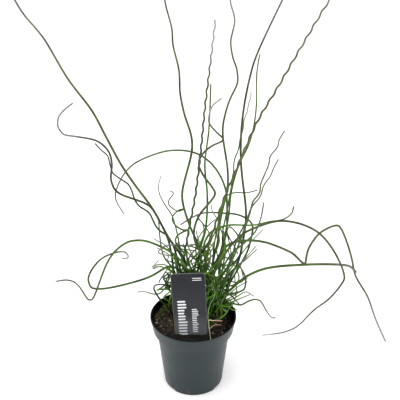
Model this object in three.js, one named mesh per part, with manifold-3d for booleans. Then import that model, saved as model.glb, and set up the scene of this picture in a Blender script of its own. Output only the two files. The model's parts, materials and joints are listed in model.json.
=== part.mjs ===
// Corkscrew rush growing in a round nursery pot, with a plastic plant tag pushed into its soil.
// Millimetres, +Z up. The origin is the centre of the pot's underside; the tag faces -Y.
//
// Every long stem is a node of its own that stands in a plain hole in the soil. The short curls
// grow in tufts: the curls of a tuft rise out of one sheathed foot, which stands in a hole too.
// All routes are first drawn as smooth lines, then bent clear of each other, then given a body.

import * as THREE from "three";
import { mergeVertices } from "three/addons/utils/BufferGeometryUtils.js";
import Module from "manifold-3d";

const wasm = await Module();
wasm.setup();

// ---------------------------------------------------------------- driving dimensions

const POT = {
  rimRadius: 52.5,
  height: 97,
  baseRadius: 35.6,
  wall: 1.3,
  floor: 1.5,
  shoulderRadius: 44.6, // body radius right under the collar
  collarRadius: 49.0, // collar radius at its lower edge
  collarHeight: 19,
  lip: 0.6, // how far the rim's bead stands out of the collar
  bead: 1.8, // height of the bead
  rimWidth: 2.2,
  ease: 0.7, // size of the small chamfers
  sides: 40,
  drains: 3, // low wide notches in the foot, for water to run out
  firstDrain: -26, // its bearing in degrees
  drainWidth: 22,
  drainReach: 6, // inward from the wall
  drainHeight: 2.6,
};

const SOIL = {
  clearance: 0.35, // to the pot's inside
  edge: 83.5, // height of the soil along the wall
  dome: 3.2, // rise towards the middle
  bump: 1.1, // height of its crumbs and hollows
  sides: 28,
  rings: 4,
};

const TAG = {
  width: 41, // along its top edge
  shoulderWidth: 38.9,
  top: 176, // height of the middle of its top edge
  shoulder: 66, // where it starts to narrow to its foot, inside the soil
  tip: 34, // lowest point of its foot
  tipWidth: 8,
  thickness: 0.9,
  corner: 4,
  centre: -4.1, // place of its middle along X at mid height
  front: -24, // place along Y
  lean: 2.5, // degrees, top towards -X
  middle: 125, // height that it leans about
};

const ROOT = {
  bottom: 63, // lowest point of every stem, inside the soil
  step: 9,
  straight: 91, // a stem is plumb from its bottom up to here
  play: 0.35, // hole to stem
  holeBelow: 3, // the holes reach this far under the stems
  holeDepth: 60,
  holeSides: 6,
};

const GAP = 0.35; // least air between two nodes
const TRIM = { stem: 0.6, coil: 0.2, curl: 1.1 }; // how far straight steps may cut a line's curves
const TRIM_ROOM = 0.7; // share of that cut that two lines keep clear of each other
const STEP = 3.5; // spacing of the points of a line while it is bent clear
const FINE = 24; // steps between two given points, to measure a curve by
const THIN = 1.05; // a stem of a smaller radius has three sides, others have four
const TAPER = { from: 0.45, tip: 0.72 }; // a stem narrows from this share of its length to this width
const BEND_ROUNDS = 110;
const MOST_MOVE = 1.2; // most that a point moves in a round
// how much a line is eased: in the first round, and from the share "by" of the rounds on
const EASING = { first: 0.4, last: 0.02, by: 0.77 };
const OFTEN_TOUCHED = 0.5; // a point that more lines touch moves less for each of them
const COIL_ROOM = 3; // rooms along a line after which it counts as another line to itself
const FREED = 4; // points above the root over which a line becomes free to move
const NEIGHBOURS = 6; // first stretches of a tuft's curls, which may touch each other
const GRID = 11; // side of the cubes that near stretches are looked up in
const RIM_REACH = 6; // width over the rim that lines stay above

// ---------------------------------------------------------------- colours

const finish = (color, roughness) =>
  new THREE.MeshStandardMaterial({ color, roughness, flatShading: true });

const potPlastic = finish(0x4a5457, 0.5);
const pottingSoil = finish(0x2c231b, 0.95);
const tagPlastic = finish(0x3e4044, 0.45);
const brightGreen = finish(0x6f9a3a, 0.5);
const midGreen = finish(0x56792f, 0.5);
const darkOlive = finish(0x4a5236, 0.55);

// ---------------------------------------------------------------- small tools

const vec = (x, y, z) => new THREE.Vector3(x, y, z);
const turn = 2 * Math.PI;
const radians = THREE.MathUtils.degToRad;
const mix = THREE.MathUtils.lerp;

// a repeatable stream of numbers from 0 to 1
function drawFrom(seed) {
  let state = seed >>> 0;
  return () => {
    state = (state + 0x6d2b79f5) >>> 0;
    let t = state;
    t = Math.imul(t ^ (t >>> 15), t | 1);
    t ^= t + Math.imul(t ^ (t >>> 7), t | 61);
    return ((t ^ (t >>> 14)) >>> 0) / 4294967296;
  };
}

// the corners of a closed geometry joined, with nothing but positions left
function welded(geometry) {
  const bare = geometry.clone();
  for (const name of Object.keys(bare.attributes)) {
    if (name !== "position") bare.deleteAttribute(name);
  }
  return mergeVertices(bare, 1e-4);
}

function toSolid(geometry) {
  const joined = welded(geometry);
  const mesh = new wasm.Mesh({
    numProp: 3,
    vertProperties: new Float32Array(joined.attributes.position.array),
    triVerts: new Uint32Array(joined.index.array),
  });
  return new wasm.Manifold(mesh);
}

function toGeometry(solid) {
  const mesh = solid.getMesh();
  const geometry = new THREE.BufferGeometry();
  geometry.setAttribute("position", new THREE.BufferAttribute(mesh.vertProperties, 3));
  geometry.setIndex(new THREE.BufferAttribute(mesh.triVerts, 1));
  geometry.computeVertexNormals();
  return geometry;
}

// one body out of many: what fusing seals is filled, and a loose scrap is dropped
function joinAll(solids) {
  const shells = solids.reduce((all, next) => all.add(next)).decompose();
  return shells.reduce((largest, next) => (next.volume() > largest.volume() ? next : largest));
}

const cutAll = (body, tools) => tools.reduce((left, tool) => left.subtract(tool), body);

// a profile of [radius, height] pairs turned about Z
function turned(profile, sides) {
  const outline = profile.map(([radius, height]) => new THREE.Vector2(radius, height));
  return new THREE.LatheGeometry(outline, sides).rotateX(Math.PI / 2);
}

// ---------------------------------------------------------------- lines

// evenly spaced points on a smooth curve through the given ones
function smoothLine(points) {
  const curve = new THREE.CatmullRomCurve3(points, false, "centripetal");
  curve.arcLengthDivisions = points.length * FINE;
  return curve.getSpacedPoints(Math.ceil(curve.getLength() / STEP));
}

// winds a line round itself: radius grows from nothing at the start to its full size at "grown"
function wind(line, { radius, pitch, phase = 0, start = 0, grown = 0.2, hand = 1 }) {
  const across = vec(1, 0, 0);
  let run = 0;
  return line.map((point, i) => {
    const before = line[Math.max(0, i - 1)];
    const after = line[Math.min(line.length - 1, i + 1)];
    run += i ? point.distanceTo(before) : 0;
    const along = after.clone().sub(before).normalize();
    const side = across.clone().addScaledVector(along, -across.dot(along)).normalize();
    const front = along.clone().cross(side);
    const share = i / (line.length - 1);
    const growth = THREE.MathUtils.smoothstep(share, start, grown);
    const angle = radians(phase) + (hand * turn * run) / pitch;
    return point
      .clone()
      .addScaledVector(side, radius * growth * Math.cos(angle))
      .addScaledVector(front, radius * growth * Math.sin(angle));
  });
}

// keeps only the points that a line needs to stay within reach of its curve
function trimmed(line, first, reach) {
  const keep = new Set([0, first, line.length - 1]);
  const split = (from, to) => {
    const chord = new THREE.Line3(line[from], line[to]);
    const near = vec(0, 0, 0);
    let worst = reach;
    let at = -1;
    for (let i = from + 1; i < to; i += 1) {
      const away = chord.closestPointToPoint(line[i], true, near).distanceTo(line[i]);
      if (away > worst) {
        worst = away;
        at = i;
      }
    }
    if (at < 0) return;
    keep.add(at);
    split(from, at);
    split(at, to);
  };
  split(first, line.length - 1);
  return [...keep].sort((a, b) => a - b);
}

// ---------------------------------------------------------------- bodies along lines

// a closed body of rings along a line; it ends in a point at its tip, and at its foot if asked
function sweep(line, radii, sides, pointedFoot = false) {
  const corners = [];
  const faces = [];
  let side = vec(1, 0, 0);
  const heading = (i) => {
    const before = line[Math.max(0, i - 1)];
    const after = line[Math.min(line.length - 1, i + 1)];
    const into = line[i].clone().sub(before).normalize();
    const out = after.clone().sub(line[i]).normalize();
    return into.add(out).normalize();
  };
  line.forEach((point, i) => {
    const along = heading(i);
    side = side.clone().addScaledVector(along, -side.dot(along)).normalize();
    const front = along.clone().cross(side);
    for (let k = 0; k < sides; k += 1) {
      const angle = (turn * k) / sides;
      corners.push(
        point
          .clone()
          .addScaledVector(side, radii[i] * Math.cos(angle))
          .addScaledVector(front, radii[i] * Math.sin(angle)),
      );
    }
  });
  for (let i = 0; i + 1 < line.length; i += 1) {
    for (let k = 0; k < sides; k += 1) {
      const a = i * sides + k;
      const b = i * sides + ((k + 1) % sides);
      faces.push(a, b, b + sides, a, b + sides, a + sides);
    }
  }
  const last = line.length - 1;
  const foot = corners.length;
  corners.push(line[0].clone().addScaledVector(heading(0), pointedFoot ? -radii[0] : 0));
  corners.push(line[last].clone().addScaledVector(heading(last), 2 * radii[last]));
  for (let k = 0; k < sides; k += 1) {
    const next = (k + 1) % sides;
    faces.push(foot, next, k);
    faces.push(foot + 1, last * sides + k, last * sides + next);
  }
  const geometry = new THREE.BufferGeometry().setFromPoints(corners);
  geometry.setIndex(faces);
  geometry.computeVertexNormals();
  return geometry;
}

// circumradius of a body with few sides that is as stout as a round one
const stout = (radius, sides) => radius * Math.sqrt(turn / (sides * Math.sin(turn / sides)));

// ---------------------------------------------------------------- long stems

// Each route starts over its root [x, y]; the points are the places that the stem passes.
const LONG_STEMS = {
  stem_tall_left: {
    root: [-13, 9], radius: 1.4, colour: darkOlive,
    route: [[-11, 12, 166], [-29, 14, 201], [-47, 18, 238], [-68, 22, 270], [-83, 25, 295],
      [-98, 28, 327], [-115, 33, 362], [-134, 38, 388], [-146, 41, 408], [-160, 45, 436],
      [-172, 47, 454], [-185, 50, 470], [-193, 52, 485], [-202, 55, 503]],
  },
  stem_far_left_hook: {
    root: [-20, 1], radius: 1.28, colour: darkOlive,
    route: [[-28, -1, 203], [-39, -5, 236], [-49, -8, 258], [-68, -13, 272], [-85, -19, 284],
      [-91, -23, 302], [-89, -28, 326], [-91, -33, 343], [-97, -36, 354], [-105, -38, 361],
      [-125, -39, 366], [-139, -37, 368], [-145, -33, 376], [-144, -27, 384], [-137, -20, 390],
      [-129, -16, 395]],
  },
  stem_left_stair: {
    root: [-7, 18], radius: 1.15, colour: midGreen,
    route: [[-24, 22, 184], [-31, 24, 197], [-39, 22, 205], [-45, 24, 212], [-49, 32, 218],
      [-54, 38, 222], [-64, 38, 230], [-69, 36, 240], [-72, 42, 247], [-77, 50, 253],
      [-87, 52, 260], [-95, 50, 269], [-98, 54, 278], [-101, 62, 285], [-108, 64, 291],
      [-115, 60, 303]],
  },
  stem_arch_over: {
    root: [24.5, 18], radius: 1.2, colour: midGreen,
    route: [[35, 23, 177], [41, 42, 226], [39, 50, 246], [26, 53, 274], [8, 52, 292],
      [-10, 48, 300], [-29, 42, 303], [-49, 32, 302], [-69, 22, 296], [-82, 12, 284],
      [-89, 1, 265], [-79, -10, 249]],
  },
  stem_tall_wave: {
    root: [2, 16], radius: 1.35, colour: midGreen,
    route: [[13, 19, 163], [2, 27, 192], [-8, 34, 218], [-13, 41, 244], [-6, 48, 274],
      [-1, 55, 299], [-2, 60, 313], [-10, 69, 337], [-15, 78, 361], [-16, 87, 383],
      [-23, 97, 413], [-24, 102, 429], [-32, 114, 460], [-33, 121, 477]],
  },
  stem_centre_corkscrew: {
    root: [2, -3], radius: 1.2, colour: midGreen,
    route: [[-8, -5, 168], [-5, -8, 222], [3, -12, 276], [9, -17, 336], [14, -24, 398],
      [19, -30, 448], [24, -37, 501]],
    coil: { radius: 0.6, pitch: 14.5, grown: 0.3 },
  },
  stem_centre_upright: {
    root: [9, 25], radius: 1.22, colour: brightGreen,
    route: [[7, 30, 167], [15, 41, 199], [17, 53, 235], [14, 65, 271], [18, 77, 302],
      [20, 90, 334], [21, 100, 361]],
  },
  stem_big_corkscrew: {
    root: [5, -10], radius: 1.26, colour: midGreen,
    route: [[8, -14, 199], [2, -20, 220], [2, -28, 242], [9, -38, 268], [18, -40, 282],
      [25, -34, 291], [21, -26, 296], [13, -24, 307], [7, -34, 328], [10, -46, 347],
      [21, -56, 364], [33, -50, 368], [27, -40, 371], [19, -40, 381], [18, -50, 397],
      [22, -60, 415], [31, -58, 422]],
  },
  stem_tall_curve: {
    root: [17, 11], radius: 1.22, colour: midGreen,
    route: [[25, 12, 183], [34, 15, 236], [40, 18, 267], [40, 20, 291], [34, 24, 339],
      [37, 26, 361], [43, 28, 380], [50, 30, 397], [49, 32, 412], [44, 33, 428], [42, 34, 445],
      [46, 37, 468], [41, 39, 491], [43, 40, 504]],
  },
  stem_tall_right: {
    root: [29.5, 14.5], radius: 1.35, colour: darkOlive,
    route: [[40, 15, 131], [55, 24, 165], [63, 35, 210], [62, 41, 236], [57, 52, 274],
      [56, 60, 298], [58, 72, 331], [64, 85, 365], [72, 96, 394], [87, 109, 425],
      [103, 122, 457], [113, 130, 475]],
  },
  stem_right_corkscrew: {
    root: [12, -7], radius: 1.3, colour: darkOlive,
    route: [[15, -6, 179], [32, -11, 258], [52, -16, 321], [71, -20, 375], [91, -28, 420],
      [112, -36, 468], [131, -44, 511], [147, -50, 545]],
    coil: { radius: 0.65, pitch: 17.5, grown: 0.3 },
  },
  stem_right_upright: {
    root: [19, 21], radius: 1.1, colour: brightGreen,
    route: [[30, 25, 159], [40, 36, 202], [45, 48, 243], [54, 59, 273], [67, 69, 300],
      [73, 79, 325], [75, 89, 352], [75, 99, 379], [78, 105, 397]],
  },
  stem_thin_twist: {
    root: [29.5, 19.5], radius: 0.92, colour: midGreen,
    route: [[34, 28, 180], [42, 36, 236], [48, 51, 269], [49, 55, 284], [54, 62, 295],
      [56, 67, 307], [59, 71, 316], [60, 76, 325], [64, 81, 335], [65, 85, 341], [68, 88, 350],
      [68, 91, 355]],
  },
  stem_right_twist_long: {
    root: [4, 3.2], radius: 1.12, colour: midGreen,
    route: [[45, -4, 178], [57, -8, 218], [65, -21, 257], [68, -18, 270], [75, -25, 287],
      [76, -28, 300], [81, -30, 317], [84, -34, 330], [85, -32, 337], [92, -39, 353],
      [94, -42, 365], [99, -44, 376]],
  },
  stem_right_twist_short: {
    root: [17, -9], radius: 1.02, colour: midGreen,
    route: [[42, -18, 181], [51, -38, 235], [60, -47, 263], [66, -56, 289], [74, -63, 306],
      [77, -69, 323], [83, -73, 336], [86, -82, 352], [90, -90, 367]],
  },
  stem_short_upright: {
    root: [12.8, -12.3], radius: 1.1, colour: midGreen,
    route: [[41, -28, 200], [59, -49, 236], [69, -62, 258], [74, -73, 281], [76, -90, 314]],
  },
  stem_great_bow: {
    root: [7.2, -3], radius: 1.25, tip: 0.6, colour: darkOlive,
    route: [[32, -20, 190], [54, -33, 234], [72, -44, 253], [97, -59, 271], [121, -78, 278],
      [136, -90, 276], [149, -104, 267], [161, -114, 247], [164, -118, 235], [161, -120, 229],
      [150, -120, 211], [134, -114, 190], [118, -99, 156], [108, -91, 143], [97, -83, 133],
      [80, -72, 122]],
  },
  stem_upturned_tip: {
    root: [10, 7], radius: 1.25, colour: brightGreen,
    route: [[14, 4, 196], [23, -1, 220], [43, -7, 232], [69, -1, 228], [92, 6, 229],
      [102, 10, 228], [108, 12, 229], [114, 15, 232], [117, 18, 235], [118, 20, 241]],
  },
  stem_far_right_fall: {
    root: [11, 13], radius: 1.4, tip: 0.8, colour: darkOlive,
    route: [[26, 10, 172], [43, 18, 189], [62, 24, 190], [83, 31, 184], [103, 38, 172],
      [122, 45, 157], [138, 50, 139], [140, 51, 151], [143, 53, 162], [155, 57, 179],
      [171, 62, 186], [178, 63, 186], [188, 62, 167], [196, 56, 144], [202, 49, 121],
      [217, 34, 99], [227, 23, 74], [240, 10, 48]],
  },
  stem_level_right: {
    root: [15, 17], radius: 1.55, tip: 1, colour: darkOlive,
    route: [[48, 11, 132], [65, 14, 145], [83, 18, 152], [104, 22, 154],
      [130, 30, 150], [155, 38, 146], [180, 44, 141], [190, 47, 138], [196, 49, 133],
      [201, 50, 125]],
  },
  stem_left_low_loop: {
    root: [-19, -6], radius: 1.32, colour: midGreen,
    route: [[-8, -10, 160], [-24, -18, 180], [-51, -29, 174], [-85, -42, 171], [-106, -48, 171],
      [-117, -47, 172], [-121, -41, 179], [-116, -34, 190], [-104, -27, 200], [-88, -20, 203],
      [-80, -15, 200], [-76, -11, 192], [-78, -8, 186], [-84, -6, 185]],
  },
  stem_left_high_loop: {
    root: [-12, -8], radius: 1.3, colour: midGreen,
    route: [[-6, -18, 172], [-19, -29, 203], [-43, -42, 229], [-59, -51, 240], [-73, -58, 242],
      [-87, -65, 234], [-97, -72, 220], [-106, -80, 198], [-113, -80, 180], [-119, -74, 175],
      [-126, -69, 185], [-134, -66, 193], [-143, -63, 194], [-156, -60, 190]],
  },
  stem_left_back_wave: {
    root: [-8, 25], radius: 0.98, tip: 0.6, colour: midGreen,
    route: [[-16, 30, 177], [-25, 49, 208], [-34, 60, 218], [-41, 70, 228], [-42, 77, 237],
      [-39, 85, 245]],
  },
  stem_left_curl: {
    root: [-6, -11], radius: 1.1, tip: 0.6, colour: brightGreen,
    route: [[-8, -12, 192], [-17, -18, 209], [-20, -28, 224], [-17, -36, 237], [-10, -39, 244],
      [-5, -34, 243], [-12, -26, 238], [-19, -26, 243], [-23, -34, 258], [-20, -42, 270],
      [-14, -45, 277], [-10, -41, 275], [-17, -34, 268], [-24, -32, 272], [-27, -38, 281],
      [-25, -44, 291], [-21, -42, 296], [-25, -36, 296]],
  },
  stem_back_bow: {
    root: [34.5, 15.5], radius: 1.22, colour: midGreen,
    route: [[54, 24, 148], [68, 34, 180], [71, 45, 200], [57, 55, 206], [33, 66, 203],
      [11, 68, 201], [-5, 64, 195], [-16, 60, 189]],
  },
  stem_left_straight: {
    root: [-18, 15], radius: 1.1, colour: midGreen,
    route: [[-22, 21, 143], [-36, 31, 161], [-40, 40, 180], [-42, 52, 206]],
  },
  stem_back_level: {
    root: [20, 31], radius: 1.1, colour: midGreen,
    route: [[27, 39, 180], [34, 64, 205], [38, 78, 217], [50, 88, 218], [66, 100, 211],
      [80, 111, 208]],
  },
  stem_low_right_tail: {
    root: [20.5, 3], radius: 1.12, colour: darkOlive,
    route: [[38, -14, 128], [47, -24, 134], [56, -29, 135], [66, -36, 145], [73, -40, 150],
      [79, -42, 149], [83, -45, 143], [88, -47, 135], [93, -48, 129], [97, -50, 131]],
  },
  stem_right_inner_loop: {
    root: [20, -3.5], radius: 1.2, colour: midGreen,
    route: [[30, -31, 150], [45, -45, 162], [59, -50, 172], [60, -47, 188], [51, -43, 202],
      [36, -38, 209]],
  },
  stem_low_left_curl: {
    root: [-25, -5], radius: 1.12, colour: darkOlive,
    route: [[-30, -4, 110], [-38, -4, 121], [-42, -5, 128], [-45, -6, 135], [-47, -8, 143],
      [-45, -9, 148], [-39, -10, 150], [-31, -9, 148], [-26, -7, 143]],
  },
  stem_back_left: {
    root: [-13, 31], radius: 1.15, colour: darkOlive,
    route: [[-18, 46, 116], [-23, 72, 130], [-22, 98, 127], [-13, 120, 113], [1, 130, 104]],
  },
  stem_back_fall: {
    root: [12, 36], radius: 1.15, colour: darkOlive,
    route: [[16, 52, 122], [14, 78, 134], [4, 104, 130], [-5, 126, 116], [-1, 142, 104]],
  },
};

function longStem(name, { root, radius, tip = TAPER.tip, route, coil }) {
  const [x, y] = root;
  const foot = [0, 1, 2].map((i) => vec(x, y, ROOT.bottom + i * ROOT.step));
  const bent = smoothLine([vec(x, y, ROOT.straight), vec(x, y, ROOT.straight + ROOT.step),
    ...route.map(([u, v, w]) => vec(u, v, w))]);
  const points = [...foot, ...(coil ? wind(bent, coil) : bent)];
  const sides = coil || radius < THIN ? 3 : 4;
  const trim = coil ? TRIM.coil : TRIM.stem;
  return { name, family: name, points, fixed: foot.length + 1, radius, tip, sides, trim };
}

// ---------------------------------------------------------------- tufts of curls

// A tuft's curls aim between two bearings, so far out and so far up; bearing 0 is +X, 90 is +Y.
// Its wisps are single thin stems that pass the given places.
const TUFTS = {
  tuft_left: {
    root: [-23.5, 9], curls: 1, bearing: [140, 180], reach: [14, 28], rise: [50, 80], seed: 11,
    wisps: [
      [[-28, 8, 141], [-34, 4, 136], [-40, 0, 131], [-46, -2, 130], [-55, -4, 135], [-61, -6, 137],
        [-67, -8, 137]],
      [[-22, 6, 150], [-26, 3, 165], [-34, 0, 157], [-38, -3, 154], [-41, -5, 150]],
      [[-25, 10, 154], [-32, 8, 158], [-36, 6, 163], [-41, 4, 166], [-45, 2, 167], [-48, 0, 166]],
      [[-19, 8, 167], [-30, 14, 186], [-37, 16, 192], [-42, 14, 196], [-47, 18, 197]],
    ],
  },
  tuft_left_front: {
    root: [-19, -15], curls: 1, bearing: [60, 120], reach: [10, 22], rise: [60, 90], seed: 12,
    wisps: [
      [[-24, -8, 130], [-31, -4, 143], [-35, 0, 152], [-32, 1, 158], [-27, 3, 160]],
      [[-12, -8, 160], [-8, -5, 184], [-10, -4, 198], [-18, -4, 202], [-29, -6, 203], [-36, -8, 201],
        [-40, -9, 198], [-40, -8, 194], [-35, -6, 189], [-29, -4, 187], [-31, -2, 180]],
      [[-20, -15, 164], [-29, -20, 179], [-39, -28, 189], [-46, -33, 189], [-43, -39, 200],
        [-39, -36, 203]],
      [[-15, -10, 174], [-24, -20, 195], [-33, -30, 211], [-41, -36, 220]],
    ],
  },
  tuft_left_back: {
    root: [-20, 23], curls: 3, bearing: [80, 130], reach: [20, 48], rise: [24, 66], seed: 13,
    wisps: [],
  },
  tuft_middle: {
    root: [-3, 6], curls: 6, bearing: [-60, 250], reach: [10, 38], rise: [60, 122], seed: 14,
    wisps: [[[8, 0, 193], [-6, -8, 204], [-20, -16, 210], [-31, -22, 213], [-37, -25, 209]]],
  },
  tuft_middle_front: {
    root: [6, -18], curls: 5, bearing: [-60, 200], reach: [8, 32], rise: [66, 118], seed: 35,
    wisps: [],
  },
  tuft_middle_right: {
    root: [14, 0.5], curls: 8, bearing: [-60, 120], reach: [14, 52], rise: [70, 142], seed: 16,
    wisps: [[[36, 14, 160], [39, 22, 186], [31, 34, 211], [23, 40, 222], [22, 45, 227]]],
  },
  tuft_right: {
    root: [24, 10], curls: 5, bearing: [-50, 110], reach: [14, 36], rise: [40, 118], seed: 17,
    wisps: [
      [[37, 0, 112], [53, -8, 127], [68, -14, 138]],
      [[38, 3, 112], [52, 4, 121], [64, 8, 126], [74, 4, 122]],
      [[37, -4, 149], [47, -10, 171], [61, -16, 189], [74, -24, 210]],
    ],
  },
  tuft_right_front: {
    root: [15, -18.5], curls: 6, bearing: [-35, 65], reach: [24, 46], rise: [22, 66], seed: 18,
    wisps: [
      [[21, -18, 124], [38, -22, 140], [53, -26, 158], [64, -28, 167]],
      [[24, -16, 114], [31, -17, 127], [41, -18, 137]],
    ],
  },
  tuft_right_back: {
    root: [27, 26], curls: 6, bearing: [10, 85], reach: [20, 58], rise: [24, 84], seed: 19,
    wisps: [
      [[36, 12, 136], [52, 14, 157], [66, 22, 169], [76, 30, 178]],
      [[40, 18, 144], [57, 26, 163], [71, 38, 179], [85, 50, 189]],
    ],
  },
  tuft_back: {
    root: [1, 35], curls: 6, bearing: [60, 140], reach: [24, 82], rise: [20, 60], seed: 20,
    wisps: [],
  },
};

const CURL = {
  radius: 1.05,
  wispRadius: 0.85,
  sides: 3,
  winding: [8, 19], // radius of its turns
  turns: [0.8, 2],
  woundFrom: 0.05, // shares of its length where its turns begin
  woundBy: [0.4, 0.85], // and where they are full
  fullLength: 80, // a shorter curl winds less
  rightHanded: 0.75, // share of the curls
  shoulder: { out: 0.25, up: 0.75 }, // bend of its axis, in shares of reach and rise
  spread: 1.5, // from the middle of the foot
  sunk: 6, // into the foot
  footRadius: 3.3, // of the tuft's sheathed foot
  footHeights: [64, 81, 91, 96],
  footWidths: [0.7, 1, 1, 0.62],
};

const GOLDEN_TURNS = 4 * 1.618; // spreads the bearings of neighbouring curls

// the place where a curl or wisp starts on top of its tuft's straight part
const onFoot = ([x, y], angle) =>
  vec(x + CURL.spread * Math.cos(angle), y + CURL.spread * Math.sin(angle), ROOT.straight);

const WISP_BEARING = { first: 0.7, next: 2.1 }; // radians

function curl(tuft, index, spec, draw) {
  const pick = ([low, high]) => mix(low, high, draw());
  const share = (index + draw()) / spec.curls;
  const bearing = radians(mix(...spec.bearing, (share * GOLDEN_TURNS) % 1));
  const reach = pick(spec.reach);
  const rise = pick(spec.rise);
  const foot = onFoot(spec.root, turn * share);
  const out = vec(Math.cos(bearing), Math.sin(bearing), 0);
  const shoulder = foot.clone().addScaledVector(out, reach * CURL.shoulder.out);
  shoulder.z += rise * CURL.shoulder.up;
  const tip = foot.clone().addScaledVector(out, reach).setZ(ROOT.straight + rise);
  const axis = new THREE.QuadraticBezierCurve3(foot, shoulder, tip).getSpacedPoints(2 * FINE);
  const length = axis.slice(1).reduce((sum, point, i) => sum + point.distanceTo(axis[i]), 0);
  const coil = {
    radius: pick(CURL.winding) * Math.min(1, length / CURL.fullLength),
    pitch: length / pick(CURL.turns),
    phase: 360 * draw(),
    start: CURL.woundFrom,
    grown: pick(CURL.woundBy),
    hand: draw() < CURL.rightHanded ? 1 : -1,
  };
  const points = smoothLine([foot.clone().setZ(foot.z - CURL.sunk), ...wind(axis, coil)]);
  return {
    name: `${tuft}_${index}`, family: tuft, points, fixed: 2, radius: CURL.radius,
    tip: TAPER.tip, sides: CURL.sides, trim: TRIM.curl,
  };
}

function wisp(tuft, root, index, route) {
  const foot = onFoot(root, WISP_BEARING.first + WISP_BEARING.next * index);
  const points = smoothLine([foot.clone().setZ(foot.z - CURL.sunk), foot,
    ...route.map(([u, v, w]) => vec(u, v, w))]);
  return {
    name: `${tuft}_wisp_${index}`, family: tuft, points, fixed: 2, radius: CURL.wispRadius,
    tip: TAPER.tip, sides: CURL.sides, trim: TRIM.curl,
  };
}

function tuftFoot(tuft, [x, y]) {
  return {
    name: `${tuft}_foot`,
    family: tuft,
    points: CURL.footHeights.map((z) => vec(x, y, z)),
    fixed: CURL.footHeights.length,
    radius: CURL.footRadius,
    radii: CURL.footWidths.map((share) => share * CURL.footRadius),
    sides: 6,
    trim: 0,
  };
}

// ---------------------------------------------------------------- bending clear

// the two nearest points of two straight stretches, as shares along each
function nearest(a, b, c, d) {
  const u = b.clone().sub(a);
  const v = d.clone().sub(c);
  const w = a.clone().sub(c);
  const uu = u.dot(u);
  const vv = v.dot(v);
  const uv = u.dot(v);
  const uw = u.dot(w);
  const vw = v.dot(w);
  const skew = uu * vv - uv * uv;
  const clamp = (share) => Math.min(1, Math.max(0, share));
  let s = skew > 1e-9 ? clamp((uv * vw - vv * uw) / skew) : 0.5;
  const t = clamp((uv * s + vw) / vv);
  s = clamp((uv * t - uw) / uu);
  return [s, t];
}

// how far a point has to move to clear the soil and the rim, and to stay behind the tag
function clearOfRest(point, room) {
  const push = vec(0, 0, 0);
  const out = Math.hypot(point.x, point.y);
  const floor = SOIL.edge + SOIL.dome + SOIL.bump + room;
  if (out < POT.rimRadius - RIM_REACH && point.z < floor) push.z += floor - point.z;
  const rim = POT.height + room;
  const overRim = Math.abs(out - POT.rimRadius + POT.rimWidth) < RIM_REACH + room;
  if (overRim && point.z < rim) push.z += rim - point.z;
  const lean = radians(TAG.lean);
  const up = point.z - TAG.middle;
  const across = point.x - TAG.centre;
  const besideTag = across * Math.cos(lean) + up * Math.sin(lean);
  const alongTag = up * Math.cos(lean) - across * Math.sin(lean);
  const inWidth = Math.abs(besideTag) < TAG.width / 2 + 2 * room;
  const back = TAG.front + TAG.thickness / 2 + room;
  if (inWidth && alongTag < TAG.top - TAG.middle + 2 * room && point.y < back) push.y += back - point.y;
  return push;
}

function bendClear(lines) {
  const parts = [];
  for (const line of lines) {
    line.reach = line.radii ? line.radius : stout(line.radius, line.sides);
    line.room = line.reach + TRIM_ROOM * line.trim + GAP / 2;
    line.drawn = line.points.map((point) => point.clone());
    line.shift = line.points.map(() => vec(0, 0, 0));
    for (let i = 0; i + 1 < line.points.length; i += 1) parts.push({ line, i });
  }
  for (let round = 0; round < BEND_ROUNDS; round += 1) {
    const grid = new Map();
    for (const line of lines) {
      line.moves = line.points.map(() => vec(0, 0, 0));
      line.touches = line.points.map(() => 0);
    }
    parts.forEach((part, order) => {
      const a = part.line.points[part.i];
      const b = part.line.points[part.i + 1];
      part.order = order;
      part.at = a.clone().add(b).divideScalar(2 * GRID).floor();
      const key = `${part.at.x},${part.at.y},${part.at.z}`;
      if (!grid.has(key)) grid.set(key, []);
      grid.get(key).push(part);
    });
    const meet = (one, two) => {
      const sameLine = one.line === two.line;
      const need = one.line.room + two.line.room;
      if (sameLine && Math.abs(one.i - two.i) * STEP < COIL_ROOM * need) return;
      const sameTuft = one.line.family === two.line.family;
      const low = Math.min(one.i, two.i) < NEIGHBOURS || one.line.radii || two.line.radii;
      if (sameTuft && !sameLine && low) return;
      const [a, b] = [one.line.points[one.i], one.line.points[one.i + 1]];
      const [c, d] = [two.line.points[two.i], two.line.points[two.i + 1]];
      const [s, t] = nearest(a, b, c, d);
      const away = a.clone().lerp(b, s).sub(c.clone().lerp(d, t));
      const short = need - away.length();
      if (short <= 0) return;
      if (away.length() < 1e-6) away.set(0, 1, 0);
      away.setLength(0.5 * short);
      one.line.moves[one.i].addScaledVector(away, 1 - s);
      one.line.moves[one.i + 1].addScaledVector(away, s);
      two.line.moves[two.i].addScaledVector(away, t - 1);
      two.line.moves[two.i + 1].addScaledVector(away, -t);
      for (const { line, i } of [one, two]) {
        line.touches[i] += 1;
        line.touches[i + 1] += 1;
      }
    };
    for (const part of parts) {
      for (let dx = -1; dx <= 1; dx += 1) {
        for (let dy = -1; dy <= 1; dy += 1) {
          for (let dz = -1; dz <= 1; dz += 1) {
            const key = `${part.at.x + dx},${part.at.y + dy},${part.at.z + dz}`;
            for (const other of grid.get(key) ?? []) {
              if (other.order > part.order) meet(part, other);
            }
          }
        }
      }
    }
    const settled = Math.min(1, round / (EASING.by * BEND_ROUNDS));
    const easing = mix(EASING.first, EASING.last, settled);
    for (const line of lines) settle(line, easing);
  }
}

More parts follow.
